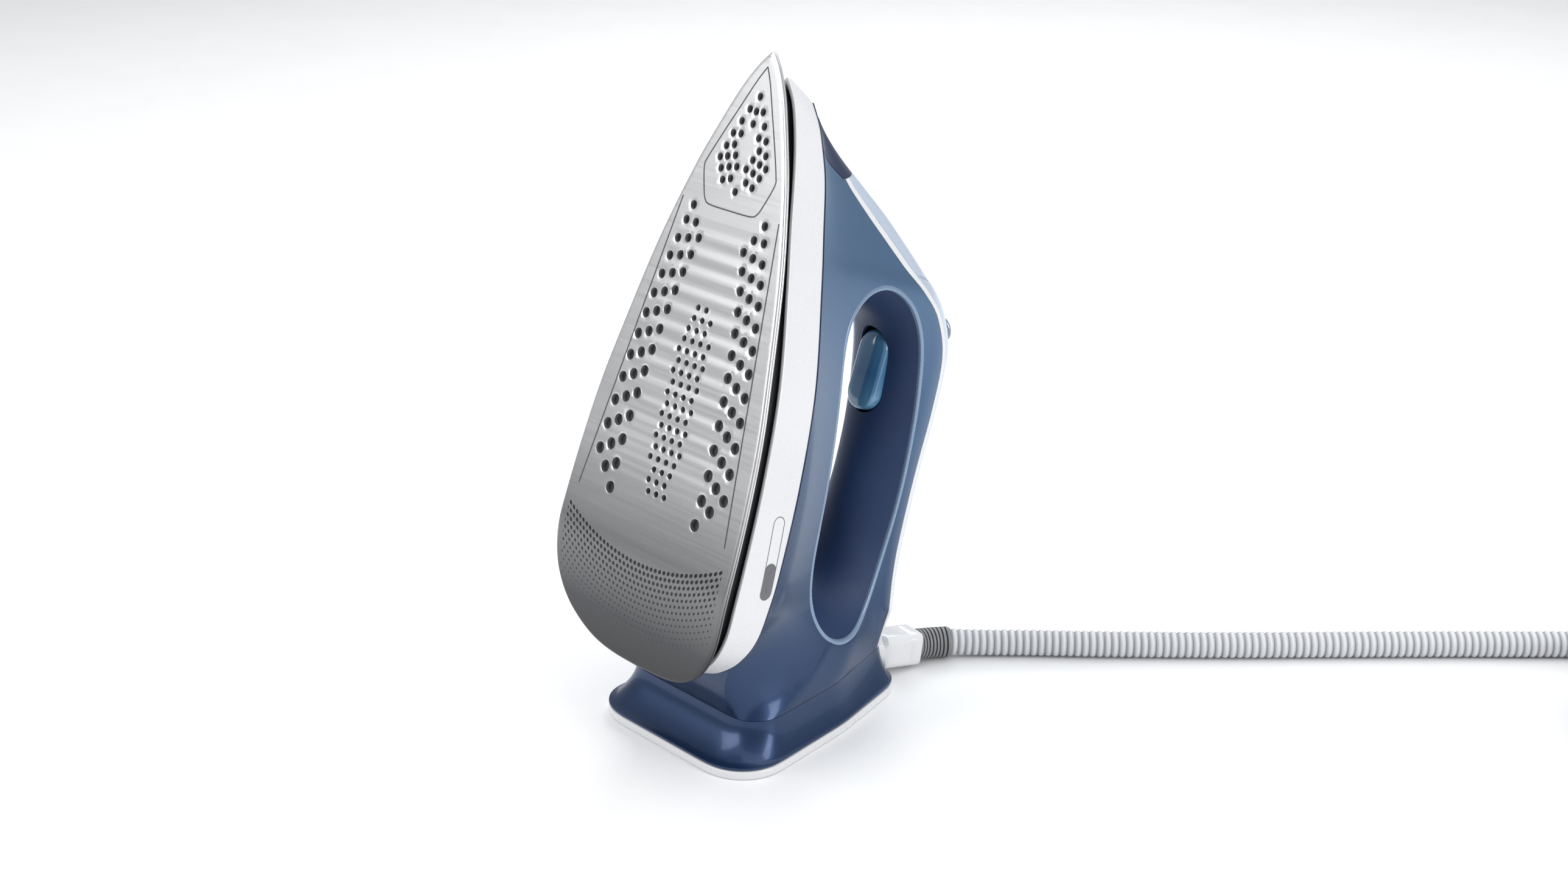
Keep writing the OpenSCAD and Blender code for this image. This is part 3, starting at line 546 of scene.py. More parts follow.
def hose_material(name, light, dark, rough):
    """Ribbed hose: the grooves between the ribs are darker, as painted shade."""
    mat, tree, bsdf = shader(name, light, rough)
    groove = node(tree, "Attribute", dict(attribute_name="groove")).outputs["Fac"]
    fine = noise(tree, object_point(tree), 700.0, 3.0)
    # painted shade: the groove level mixes in the dark colour
    tone = mix(tree, groove, (*light, 1), (*dark, 1))
    dress(tree, bsdf, tone, fine, (rough - 0.06, rough + 0.06), (0.2, 0.00005))
    return mat


SOLE = sole_material()
BLUE = body_material()
NAVY = grip_material()
CLEAR = trigger_material()
WHITE = grained("white_plastic", (0.72, 0.725, 0.74), 0.3, depth=0.000012, coat=0.3, variation=0.02)
PALE = grained("pale_blue", (0.50, 0.58, 0.70), 0.3, depth=0.00001, coat=0.4, variation=0.02, metal=0.15)
NAVY_GLOSS = grained("navy_gloss", (0.008, 0.02, 0.06), 0.14, coat=0.4, variation=0.1, spread=0.03)
# lighter than the body: a painted highlight on the recess's rounded edge
RIM_HIGHLIGHT_BLUE = grained("rim_highlight_blue", (0.20, 0.29, 0.42), 0.3, metal=0.3, coat=0.4, variation=0.04)
SILVER_BLUE = grained("silver_blue", (0.20, 0.25, 0.32), 0.25, metal=0.6, coat=0.4)
BLACK = grained("black_plastic", (0.014, 0.014, 0.016), 0.5)
GREY = grained("grey_plastic", (0.13, 0.135, 0.145), 0.45)
RED = grained("red_plastic", (0.32, 0.03, 0.025), 0.4)
BAKELITE = grained("bakelite", (0.20, 0.11, 0.05), 0.5, variation=0.2)
IVORY = grained("white_insulation", (0.72, 0.69, 0.60), 0.55)
GASKET = grained("gasket", (0.42, 0.075, 0.03), 0.6)
SILICONE = grained("silicone", (0.34, 0.10, 0.06), 0.5)
CABLE = grained("cable", (0.016, 0.016, 0.018), 0.55)
BOARD = grained("board", (0.02, 0.12, 0.05), 0.4, scale=300, variation=0.25)
CAST = grained("cast_aluminium", (0.45, 0.455, 0.46), 0.5, scale=500, depth=0.0002, metal=0.9, variation=0.1)
STEEL = brushed("steel", (0.56, 0.57, 0.58), 0.3)
SHEATH = brushed("element_sheath", (0.18, 0.175, 0.17), 0.45)
BRASS = brushed("brass", (0.60, 0.42, 0.15), 0.3)
HOSE = hose_material("hose_cover", (0.66, 0.67, 0.69), (0.20, 0.205, 0.215), 0.42)
SLEEVE = hose_material("grey_rubber", (0.20, 0.205, 0.21), (0.055, 0.056, 0.06), 0.5)


# ---- hose: the cord, its sleeve, boot and connector -----------------------------------
# The same points as the CAD's hose, in millimetres.
HOSE_D = 12.0
HOSE_POINTS = [[18.6, 95.15, 7], [22, 99.5, 6.7], [26.5, 105, 6.4], [33, 112.5, 6.2], [44, 124.5, 6.2],
    [62, 143, 6.2], [84, 166.5, 6.2], [108, 193, 6.2], [135, 224, 6.2], [162, 255, 6.2], [188, 284, 6.2],
    [212, 310, 6.2], [242, 333.5, 6.2], [277, 352, 6.2]]
COIL_AT = np.array([309.0, 290.0])
COIL_START = [309, 361.6, 6.2]
OUTER_TURN, INNER_TURN = 72.0, 59.9
LAYER_Z = (6.2, 18.2)
PLUG_Z = 35.3
TURNS = range(12, 1144, 12)
RIB_PITCH, RIB_STEPS = 0.0033, 5
TIE_HALF, TIE_THICK = 3, 0.63
SLEEVE_POINTS = [[12.03, 78.2, 8.77], [13, 83, 8], [15.2, 89, 7.4], [18.5, 95, 7.1]]


def eased(value, stops):
    """Smooth steps between (position, level) stops."""
    at = [s[0] for s in stops]
    i = int(np.clip(np.searchsorted(at, value) - 1, 0, len(at) - 2))
    t = min(1.0, max(0.0, (value - at[i]) / (at[i + 1] - at[i])))
    t = t * t * (3 - 2 * t)
    return stops[i][1] + (stops[i + 1][1] - stops[i][1]) * t


def coil_points():
    """Clockwise turns: out, in and up, out again, then onto the connector."""
    points = []
    for turn in TURNS:
        r = eased(turn, [(0, OUTER_TURN), (285, OUTER_TURN), (360, INNER_TURN), (840, INNER_TURN),
            (915, OUTER_TURN), (1200, OUTER_TURN)])
        z = eased(turn, [(0, LAYER_Z[0]), (545, LAYER_Z[0]), (650, LAYER_Z[1]), (1075, LAYER_Z[1]),
            (1148, PLUG_Z), (1200, PLUG_Z)])
        a = math.radians(90 - turn)
        points.append([COIL_AT[0] + r * math.cos(a), COIL_AT[1] + r * math.sin(a), z])
    return points + [[COIL_AT[0] + 66, 314.5, PLUG_Z]]


def make_hose():
    """The ribbed hose, a point at each rib and its length."""
    line = smooth(HOSE_POINTS + [COIL_START] + coil_points(), 10) / 1000
    length = float(np.linalg.norm(np.diff(line, axis=0), axis=1).sum())
    path = spaced(line, int(length / RIB_PITCH) * RIB_STEPS + 1)
    phase = np.arange(len(path)) % RIB_STEPS
    # the second row is the groove level for the painted shade, full at each groove's bottom
    depth, groove = np.array([[0.86, 0.95, 1.0, 1.0, 0.95], [1.0, 0.35, 0.0, 0.0, 0.35]])[:, phase]
    hose = swept("steam_hose_ribbed", path, depth * (HOSE_D / 2000 - 0.00002), 14, groove, 80)
    obj = piece("steam_hose_ribbed", hose, HOSE, ("steam_hose", "hose_coil"))
    return obj, path[::RIB_STEPS], length


def make_sleeve():
    """Ribbed bend sleeve with plain ends."""
    line = spaced(smooth(SLEEVE_POINTS, 10), 91) / 1000
    # the sleeve's grooves, which also get painted shade
    groove = np.where(np.arange(len(line)) % 10 >= 7, 1.0, 0.0)
    groove[:8] = groove[-4:] = 0
    radii = np.where(groove > 0, 5.9, 6.85) * np.interp(np.arange(len(line)), [0, 2, 84, 90], [0.93, 1, 1, 0.92])
    mesh = swept("bend_sleeve_ribbed", line, radii / 1000, 40, groove, 40)
    return piece("bend_sleeve_ribbed", mesh, SLEEVE, ("bend_sleeve",))


def make_tie():
    """Flat tie round the coil's turns, at the coil's -Y side."""
    path = []
    for a in np.linspace(0, 2 * math.pi, 60, endpoint=False):
        across, up = 13.2 * math.cos(a), 12.6 * math.sin(a)
        sharp = max(abs(math.cos(a)), abs(math.sin(a))) ** 0.45
        path.append([COIL_AT[0], COIL_AT[1] - 66 + across / sharp * 0.92, max(0.9, 12.4 + up / sharp * 0.93)])
    path = np.array(path)
    points = []
    for p, q in zip(path, np.roll(path, -1, 0)):
        d = (q - p) / np.linalg.norm(q - p)
        normal = np.array([0, d[2], -d[1]])
        for s, h in ((-TIE_HALF, 0), (TIE_HALF, 0), (TIE_HALF, TIE_THICK), (-TIE_HALF, TIE_THICK)):
            points.append(p + [s, 0, 0] - normal * h)
    faces = [tuple(i % len(points) for i in f) for f in quads(len(path) + 1, 4, wrap=True)]
    return piece("coil_tie", mesh_from("coil_tie", np.array(points) / 1000, faces, 40), BLACK)


def make_boot():
    """White strain-relief block: a round root, then squared sides with a groove near its mouth."""
    long = float(np.linalg.norm(BOOT_MOUTH - BOOT_ROOT))
    axis = (BOOT_MOUTH - BOOT_ROOT) / long
    side = np.cross(axis, [0, 0, 1.0])
    side /= np.linalg.norm(side)
    up = np.cross(side, axis)
    turn = np.linspace(0, 2 * math.pi, 64, endpoint=False)
    rings = []
    # distance from the root, radius, how square
    for at, r, square in [(0.3, 5.0, 0), (0.3, 7.4, 0), (0.9, 7.65, 0), (13.5, 7.65, 0), (14.5, 7.6, 0.3),
        (15.2, 7.75, 1), (17, 7.78, 1), (27.5, 7.78, 1), (28, 7.5, 1), (28.5, 7.5, 1), (29, 7.78, 1),
        (long - 0.9, 7.78, 1), (long - 0.25, 7.5, 1), (long, 7.0, 1), (long, 5.0, 0.5)]:
        power = 2 + 5 * square
        reach = r / (np.abs(np.cos(turn)) ** power + np.abs(np.sin(turn)) ** power) ** (1 / power)
        reach = np.minimum(reach, 9.5)[:, None]
        rings.append(BOOT_ROOT + axis * at + np.cos(turn)[:, None] * side * reach
            + np.sin(turn)[:, None] * up * reach)
    mesh = mesh_from("hose_boot_block", np.array(rings) / 1000, tube_faces(len(rings), 64), 32)
    return piece("hose_boot_block", mesh, WHITE, ("hose_boot",))


def make_connector():
    """Plug of the steam hose: strain relief, finger-ribbed barrel, latch ring and spigot."""
    profile = [(-24, 0), (-24, 6.1), (-23.4, 6.7)]
    for i in range(5):
        a = -22.4 + i * 2.4
        profile += [(a, 7.3), (a + 1.3, 7.4), (a + 1.5, 6.4), (a + 2.2, 6.4)]
    profile += [(-10, 7.5), (-9.6, 10.3), (-8.8, 10.9)]
    for i in range(8):
        a = -6.5 + i * 2.2
        profile += [(a, 10.95), (a + 0.25, 10.45), (a + 0.75, 10.45), (a + 1.0, 10.95)]
    profile += [(13, 10.9), (13.8, 10.3), (14, 8.7), (16.6, 8.9), (17, 8.4), (17, 5.9), (24.6, 5.9), (25.2, 5.5),
        (26, 5.4), (26, 3.2), (9, 3.1), (9, 0)]
    mesh = lathe("hose_plug", [(a / 1000, r / 1000) for a, r in profile], [0.375, 0.290, PLUG_Z / 1000],
        [0, -1, 0], sides=56)
    return piece("hose_plug", mesh, GREY, ("hose_connector",))


hose, hose_path, hose_length = make_hose()
sleeve = make_sleeve()
make_boot()
plug = make_connector()
tie = make_tie()


# ---- body shells ----------------------------------------------------------------------
GRID = np.array([section(row, T_ALL) for row in ROWS])


EVEN_T, LATE_T = 0.8, 0.2


def towards_back(start, count):
    """Section positions that crowd towards the back, from a start in radians."""
    return EVEN_T + LATE_T * np.sin(np.linspace(start, math.pi / 2, count))


T_FINE = np.r_[np.linspace(-1, EVEN_T, 361)[:-1], towards_back(0, 160)]


def crossing(fine, line):
    """Where on a finely drawn section a [v, w] line is passed."""
    gap = fine[..., 1] - np.interp(fine[..., 2], line[:, 0], line[:, 1])
    hit = int(np.argmax((gap > 0) & (T_FINE > 0)))
    a, b = gap[hit - 1], gap[hit]
    return T_FINE[hit - 1] + (T_FINE[hit] - T_FINE[hit - 1]) * (-a / (b - a)) if b > 0 else 1.0


def strip(low_line, high_line, cols):
    """Grid of the right half between two [v, w] lines, or up to the back if high_line is None."""
    rows = []
    for row in ROWS:
        fine = section(row, T_FINE)
        low = crossing(fine, low_line)
        if high_line is not None:
            t = np.linspace(low, crossing(fine, high_line), cols)
        elif low > EVEN_T:
            t = towards_back(math.asin(min(1, max(0, (low - EVEN_T) / LATE_T))), cols)
        else:
            t = np.r_[np.linspace(low, EVEN_T, cols // 2)[:-1], towards_back(0, cols - cols // 2 + 1)]
        rows.append(section(row, t))
    return np.array(rows)


def sheet_normals(grid):
    """Outward directions on a grid of points."""
    dr = np.gradient(grid, axis=0)
    dc = np.gradient(grid, axis=1)
    n = np.cross(dc, dr)
    n /= np.maximum(np.linalg.norm(n, axis=2), 1e-9)[..., None]
    return n * np.where(n[..., :1].mean() < 0, -1, 1)


def closed_body(shift=0):
    """Points and faces of the whole body as a closed skin, drawn in by shift mm."""
    half = GRID.copy()
    if shift:
        centre = half.mean(1, keepdims=True) * [0, 1, 1]
        reach = np.linalg.norm(half - centre, axis=2, keepdims=True)
        half = centre + (half - centre) * (1 - shift / np.maximum(reach, 8))
    full = np.concatenate([half, (half * [-1, 1, 1])[:, -2:0:-1]], 1)
    return place(full), tube_faces(*full.shape[:2])


def behind(depth):
    """Closed outline of everything behind a line below the back, [w, v]."""
    line = back_line(depth)
    return np.vstack([line[:, ::-1], [[190, 290], [190, 30]]])


NOSE = spaced(np.array([[20, 300], [24, 279], [33, 268], [46, 262.5], [60, 268], [75, 290]]), 60, closed=True)
BUTTON_AT, BUTTON_AXIS = place([0, 135, 209]), np.array([0, 0.9968, 0.0802])
boot_hole = lathe("boot_hole", [(-0.012, 0), (-0.012, 0.0081), (0.033, 0.0081), (0.033, 0)], BOOT_ROOT / 1000,
    BOOT_MOUTH - BOOT_ROOT)
button_hole = lathe("button_hole", [(-0.03, 0), (-0.03, 0.0070), (0.02, 0.0070), (0.02, 0)], BUTTON_AT, BUTTON_AXIS)

housing = cut(mesh_from("housing", *closed_body()), "DIFFERENCE", prism(RING), prism(behind(STRIPE_DEEP)),
    prism(NOSE), boot_hole)
piece("housing_shell", housing, BLUE, ("main_housing",))
nose = cut(mesh_from("nose", *closed_body(0.05)), "INTERSECT", prism(grown(NOSE, -0.35)))
piece("nose_gem", nose, NAVY_GLOSS, ("nose_insert",))


def thick_skin(name, grid, mirror_back=False, lift=0.0):
    """A closed moulding 2 mm thick from a half grid; mirror_back joins both halves over the back."""
    n = sheet_normals(grid)
    outer = grid + n * lift
    inner = grid - n * 2.0
    if mirror_back:
        inner[:, -1, 0] = 0
        outer[:, -1, 0] = 0
        sets = [[np.concatenate([a, (a * [-1, 1, 1])[:, -2::-1]], 1) for a in (outer, inner)]]
    else:
        sets = [(outer, inner), (outer * [-1, 1, 1], inner * [-1, 1, 1])]
    points, faces, base = [], [], 0
    for a, b in sets:
        rows, size = a.shape[0], 2 * a.shape[1]
        points.append(place(np.concatenate([a, b[:, ::-1]], 1)).reshape(-1, 3))
        faces += shifted(tube_faces(rows, size), base)
        base += rows * size
    return mesh_from(name, np.vstack(points), faces, 40)


stripe = strip(back_line(STRIPE_DEEP - SEAM), back_line(STRIPE_DEEP - STRIPE_W), 10)
stripe_mesh = cut(thick_skin("stripe", stripe, lift=0.12), "DIFFERENCE", prism(NOSE))
piece("stripe_band", stripe_mesh, WHITE, ("stripe_trim",))
cover = strip(back_line(STRIPE_DEEP - STRIPE_W - 0.3), None, 26)
cover_mesh = cut(thick_skin("cover", cover, mirror_back=True), "DIFFERENCE", prism(NOSE), button_hole)
piece("spine_shell", cover_mesh, PALE, ("spine_cover",))


# ---- handle: rounded finger gap and its bright rim --------------------------------------
TABLE = GRID.reshape(-1, 3)


def side_x(w, v):
    """Half width of the body at a height and place, from the nearest drawn points."""
    d = (TABLE[:, 1] - w) ** 2 + (TABLE[:, 2] - v) ** 2
    near = np.argsort(d)[:6]
    weight = 1 / (d[near] + 0.05)
    return float((TABLE[near, 0] * weight).sum() / weight.sum())


def bearing(loop):
    """Each point's angle round the finger gap, with the gap's length shortened to its width."""
    q = (loop - [84.0, 150.0]) * [1.0, 0.42]
    return np.arctan2(q[:, 1], q[:, 0])


def matched_hole(loop):
    """The finger gap's point at each bearing of the loop."""
    a, b = bearing(HOLE), bearing(loop)
    order = np.argsort(a)
    a, h = a[order], HOLE[order]
    a = np.r_[a - 2 * math.pi, a, a + 2 * math.pi]
    h = np.vstack([h, h, h])
    return np.stack([np.interp(b, a, h[:, 0]), np.interp(b, a, h[:, 1])], 1)


ring_x = softly(np.array([side_x(w, v) for w, v in RING]), 6)
inner_loop = softly(matched_hole(RING), 4)


def grip_mesh():
    """The skin from one side's recess edge through the finger gap to the other's, with a wall behind it."""
    turns = np.radians(np.linspace(-90, 90, 41))
    rows = []
    for q in turns:
        at = RING + (inner_loop - RING) * math.cos(q) ** 2
        rows.append(np.stack([(ring_x - 0.7) * math.sin(q), at[:, 0], at[:, 1]], 1))
    outer = np.array(rows)
    back = outer.copy()
    push = RING - inner_loop
    push /= np.maximum(np.linalg.norm(push, axis=1), 1e-6)[:, None]
    back[..., 1:] += push[None] * 1.9
    count = len(RING)
    size = len(turns) * count
    faces = quads(len(turns), count, wrap=True)
    faces += [tuple(i + size for i in reversed(f)) for f in faces]
    for i in range(count):
        j = (i + 1) % count
        faces.append((i, j, j + size, i + size))
        a, b = size - count + i, size - count + j
        faces.append((b, a, a + size, b + size))
    return mesh_from("grip", place([outer, back]), faces, 50)


def stadium(half, low, high, count=72):
    """Closed (x, v) outline with round ends."""
    turn = np.linspace(0, math.pi, 25)
    top = np.stack([half * np.cos(turn), high - half + half * np.sin(turn)], 1)
    low_end = np.stack([-half * np.cos(turn), low + half - half * np.sin(turn)], 1)
    return spaced(np.vstack([top, low_end]), count, closed=True)


def stacked(name, loops):
    """Solid through (x, v) outlines at their heights w."""
    rows = [raised(loop, w) for w, loop in loops]
    return mesh_from(name, place(rows), tube_faces(len(rows), len(rows[0])), 40)


slot_loop = stadium(8.55, 168.8, 206.0)
grip = cut(grip_mesh(), "DIFFERENCE", stacked("slot", [(88, slot_loop), (114, slot_loop)]), angle=50)
piece("grip_skin", grip, NAVY, ("grip_shell",))


def rim_mesh():
    """Rounded bead along the recess's edge on both sides, coloured lighter than the body as a painted highlight."""
    points, faces = [], []
    profile = [(-0.6, -1.3), (-0.4, -0.2), (-0.1, 0.2), (0.4, 0.32), (1.0, 0.25), (1.6, 0.0), (1.9, -0.6)]
    for side in (1, -1):
        faces += shifted(quads(len(profile), len(RING), wrap=True), len(points) * len(RING))
        for out, lift in profile:
            loop = grown(RING, out)
            x = softly(np.array([side_x(w, v) for w, v in loop]), 5)
            points.append(np.stack([side * (x + lift), loop[:, 0], loop[:, 1]], 1))
    return mesh_from("rim", place(points), faces, 60)


piece("recess_rim", rim_mesh(), RIM_HIGHLIGHT_BLUE)


# ---- skirt ----------------------------------------------------------------------------
def skirt_mesh():
    """The skirt's wall with rolled edges; its lower edge rises at the tip."""
    low, high = whole(SKIRT_FOOT), whole(SKIRT_HEAD)
    rise = np.clip((low[:, 1] - 225) / 60, 0, 1)
    start = (SKIRT_LOW + curl(low[:, 1]) + 2.6 * rise * rise * (3 - 2 * rise) - LOFT_BASE) / LOFT_RISE

    def at(k, inset=0.0, drop=0.0):
        p = low + (high - low) * (k**LOFT_EASE)[:, None]
        p = p + inwards(p, [0, 170]) * inset
        p[:, 0] = np.where(low[:, 0] * p[:, 0] < 0, 0, p[:, 0])
        return raised(p, LOFT_BASE + LOFT_RISE * k + drop)

    rows = [at(start, inset, drop) for inset, drop in ((2.2, 5.0), (2.1, 0.6), (1.5, 0.1), (0.7, 0.0), (0.2, 0.2),
        (0.0, 0.7))]
    rows += [at(start + (1 - start) * k) for k in np.linspace(0.06, 0.985, 22)]
    rows += [at(np.ones(len(low)), inset) for inset in (0.25, 1.4)]
    points, faces = list(np.array(rows).reshape(-1, 3)), quads(len(rows), len(low), wrap=True)
    # a lid closes the skirt ahead of the body
    base, lid_v = len(points), np.linspace(250, 288.7, 30)
    for v in lid_v:
        half = float(np.interp(v, SKIRT_HEAD[:, 1], SKIRT_HEAD[:, 0])) - 0.12
        points += [[x, 28.74, v] for x in np.linspace(-half, half, 7)]
    faces += shifted(quads(len(lid_v), 7), base)
    return mesh_from("skirt", place(points), faces, 45)


piece("skirt_band", skirt_mesh(), WHITE, ("skirt",))


def seam_mesh():
    """A thin dark bead where the body meets the skirt."""
    full, rows = whole(SKIRT_HEAD), []
    for inset, w in [(2.0, 28.6), (0.15, 28.66), (-0.12, 28.85), (-0.12, 29.25), (0.3, 29.5)]:
        scale = 1 - inset / np.maximum(12, np.abs(full[:, 0]))
        rows.append(raised(np.stack([full[:, 0] * scale, full[:, 1]], 1), w))
    return mesh_from("body_seam", place(rows), quads(len(rows), len(full), wrap=True), 50)


piece("body_seam", seam_mesh(), NAVY_GLOSS)


def skirt_side(w, v):
    """A point on the skirt's right side."""
    k = (w - LOFT_BASE) / LOFT_RISE
    low = np.interp(v, SKIRT_FOOT[:, 1], SKIRT_FOOT[:, 0])
    high = np.interp(v, SKIRT_HEAD[:, 1], SKIRT_HEAD[:, 0])
    return low + (high - low) * k**LOFT_EASE


LABEL_LOW, LABEL_CUT, LABEL_HIGH, LABEL_HALF = (23.6, 99.0), (22.95, 108.0), (21.6, 127.0), 3.1


def pill_loop(inset, high):
    """Closed [w, v] outline round the line from LABEL_LOW to high."""
    a, b = np.array(LABEL_LOW), np.array(high)
    d = (b - a) / np.linalg.norm(b - a)
    base = math.degrees(math.atan2(d[1], d[0]))
    ends = ((b, np.linspace(-90, 90, 19)), (a, np.linspace(90, 270, 19)))
    out = [p for end, turns in ends for p in arc(end, LABEL_HALF - inset, base + turns)]
    return spaced(np.array(out), 120, closed=True)


def inlay(name, high, wide, lift):
    """A thin printed shape on the skirt, as wide as given from its outline inwards."""
    rows = []
    for loop in (pill_loop(0, high), pill_loop(wide, high)):
        rows.append(np.stack([skirt_side(loop[:, 0], loop[:, 1]) + lift, loop[:, 0], loop[:, 1]], 1))
    piece(name, mesh_from(name, place(rows), quads(2, len(rows[0]), wrap=True), 60), GREY)


inlay("label_outline", LABEL_HIGH, 0.35, 0.05)
inlay("label_filled", LABEL_CUT, 3.05, 0.07)


# ---- soleplate ------------------------------------------------------------------------
VENT_R, SMALL_R = 2.2, 1.3
FACE_W, FACE_GRID = 0.22, 1.35  # the face's height over the plate's plane, and its mesh spacing
RIB_HEIGHT, RIB_SPACING = 0.17, 7.9


def vents():
    """(x, v, radius) of every vent, by the CAD's rules."""
    out = []
    for s in (-1, 1):
        for j in range(11):
            for c in range(3):
                out.append((s * (25.7 + 2.1 * j - 0.075 * j * j - 6 * c),
                    223 - 7.6 * j - 0.16 * j * j + c * (1.2 + 0.22 * j), VENT_R * (0.86 + 0.028 * j)))
        out += [(s * x, v, VENT_R * 0.84) for x, v in ((21.6, 237.5), (23.6, 231), (17.7, 231))]
        out += [(s * x, v, VENT_R * 1.15) for x, v in ((33.2, 124.7), (27.2, 127.6), (27, 117.5))]
        out += [(s * x, v, VENT_R * 0.72) for x, v in ((3.9, 279.9), (6.7, 274.6), (9.8, 269.2), (5.3, 269.7),
            (11.8, 263.7), (7.4, 264.9), (13.7, 258.8), (9.6, 259.8), (5.2, 260.9), (11.5, 254.6), (7.2, 255.9),
            (2.8, 256.7), (8.9, 250.3), (4.6, 251.6))]
    out += [(0, v, VENT_R * 0.72) for v in (285.5, 279.5, 274.5, 247)]
    for j in range(18):
        n = 2 if j < 1 else 3 if j < 3 else 4 if j < 15 else 3
        out += [((i - (n - 1) / 2) * 5 + (j % 2) * 1.6 - 0.8, 199 - 4.5 * j, SMALL_R) for i in range(n)]
    return np.array(out)


def half_at(v):
    """The soleplate's half width at v."""
    return np.interp(v, SOLE_SIDE[:, 1], SOLE_SIDE[:, 0])


def wave(x, v):
    """Soft cross ribs between the vents, fading towards the tip and heel."""
    side = np.abs(x) / np.maximum(half_at(v), 1)
    along = np.clip((v - 118) / 14, 0, 1) * np.clip((236 - v) / 12, 0, 1)
    across = np.clip((0.86 - side) / 0.3, 0, 1)
    return RIB_HEIGHT * np.cos((v - 199) * 2 * math.pi / RIB_SPACING) * along * across


def within(points, loop):
    """Which points lie inside a closed outline."""
    after = np.roll(loop, -1, 0)
    x, v = points[:, None, 0], points[:, None, 1]
    passed = (loop[None, :, 1] > v) != (after[None, :, 1] > v)
    rise = np.where(after[:, 1] == loop[:, 1], 1e-9, after[:, 1] - loop[:, 1])
    slope = (after[:, 0] - loop[:, 0]) / rise
    left_of = x < loop[None, :, 0] + (v - loop[None, :, 1]) * slope[None]
    return (passed & left_of).sum(1) % 2 == 1


def sole_mesh():
    """The plate's face with its vents as real hollows, then its edge with a bead and the hidden upper face."""
    rim = spaced(whole(SOLE_SIDE), 420, closed=True)
    inward = inwards(rim, [0, 150])

    def moved(gap):
        loop = rim + inward * gap
        loop[:, 0] = np.where(rim[:, 0] * loop[:, 0] < 0, 0, loop[:, 0])
        return loop

    def drawn_in(gap, last_v):
        """The outline moved inwards, with its crowded points at the tip removed."""
        loop = moved(gap)
        loop[loop[:, 1] > last_v] = [0, last_v]
        return loop[np.linalg.norm(loop - np.roll(loop, 1, 0), axis=1) > 1e-3]

    points, edges, marks, depth = [], [], [], []

    def add(loop, mark=0.0, deep=0.0, closed=True):
        base = len(points)
        points.extend(map(tuple, loop))
        marks.extend([mark] * len(loop))
        depth.extend([deep] * len(loop))
        if closed:
            edges.extend((base + i, base + (i + 1) % len(loop)) for i in range(len(loop)))

    field = drawn_in(1.2, 301.6)
    add(field)
    add(drawn_in(2.1, 299.2))
    holes = vents()
    for x, v, r in holes:
        turn = np.linspace(0, 2 * math.pi, 20 if r > 1.5 else 14, endpoint=False)
        ring = np.stack([np.cos(turn), np.sin(turn)], 1)
        # per ring: how far out from the vent it lies, its painted shade level and its depth
        for wider, mark, deep in ((0.42, 0.0, 0.0), (0.02, 0.25, 0.32), (-0.14, 1.0, 2.4)):
            add([x, v] + ring * (r + wider), mark, deep)
        add([(x, v)], 1.0, 2.5, closed=False)
    grid = np.array([(x, v) for i, v in enumerate(np.arange(52, 300, FACE_GRID))
        for x in np.arange(-54, 54, FACE_GRID) + (i % 2) * 0.6])
    grid = grid[(np.abs(grid[:, 0]) < half_at(grid[:, 1]) - 3.4) & (grid[:, 1] > 54.5 + 0.004 * grid[:, 0] ** 2)]
    room = np.linalg.norm(grid[:, None] - holes[None, :, :2], axis=2) - holes[None, :, 2]
    add(grid[room.min(1) > 1.0], closed=False)
    verts, _, faces, orig, _, _ = delaunay_2d_cdt([Vector(p) for p in points], edges, [], 0, 1e-5)
    flat = np.array([tuple(p) for p in verts])
    mark, deep = (np.array([values[o[0]] if o else 0.0 for o in orig]) for values in (marks, depth))
    inside = within(np.array([flat[list(f)].mean(0) for f in faces]), field)
    faces = [f for f, ok in zip(faces, inside) if ok]
    w = curl(flat[:, 1]) + deep + np.where(deep > 0, 0, wave(flat[:, 0], flat[:, 1]) + FACE_W)
    top = raised(flat, w)
    rows = []
    for gap, height in [(1.2, FACE_W), (0.8, 0.27), (0.45, 0.42), (0.2, 0.65), (0.05, 0.95), (0.0, 1.3), (0.1, 1.62),
        (0.4, 1.74), (0.4, 1.9), (0.1, 2.02), (0.0, 2.3), (0.08, 2.7), (0.4, 2.95), (1.2, 3.0), (8.0, 3.0)]:
        p = moved(gap)
        p[:, 1] = np.minimum(p[:, 1], TIP_V - gap * 1.9)
        rows.append(raised(p, curl(np.maximum(p[:, 1], 50)) + height))
    band = np.array(rows).reshape(-1, 3)
    faces += shifted(quads(len(rows), len(rim), wrap=True), len(top))
    # painted shade level of each vertex, none on the edge band
    vent = np.r_[mark, np.zeros(len(band))]
    return mesh_from("sole", place(np.vstack([top, band])), faces, 32, marks={"vent": vent})


piece("sole_face", sole_mesh(), SOLE, ("soleplate",))


ETCH = grained("etched_line", (0.10, 0.10, 0.105), 0.45, metal=0.6)
LINE_HALF, LINE_SUNK = 0.3, 0.06


def engraving(name, line):
    """A thin dark groove line on the sole's face: points are (x, v)."""
    line = spaced(np.array(line, float), 120)
    t = np.gradient(line, axis=0)
    t /= np.linalg.norm(t, axis=1)[:, None]
    n = np.stack([-t[:, 1], t[:, 0]], 1)
    rows = []
    for s in (-LINE_HALF, LINE_HALF):
        p = line + n * s
        rows.append(raised(p, curl(p[:, 1]) + FACE_W + wave(p[:, 0], p[:, 1]) - LINE_SUNK))
    piece(name, mesh_from(name, place(rows), quads(2, len(line)), 60), ETCH)


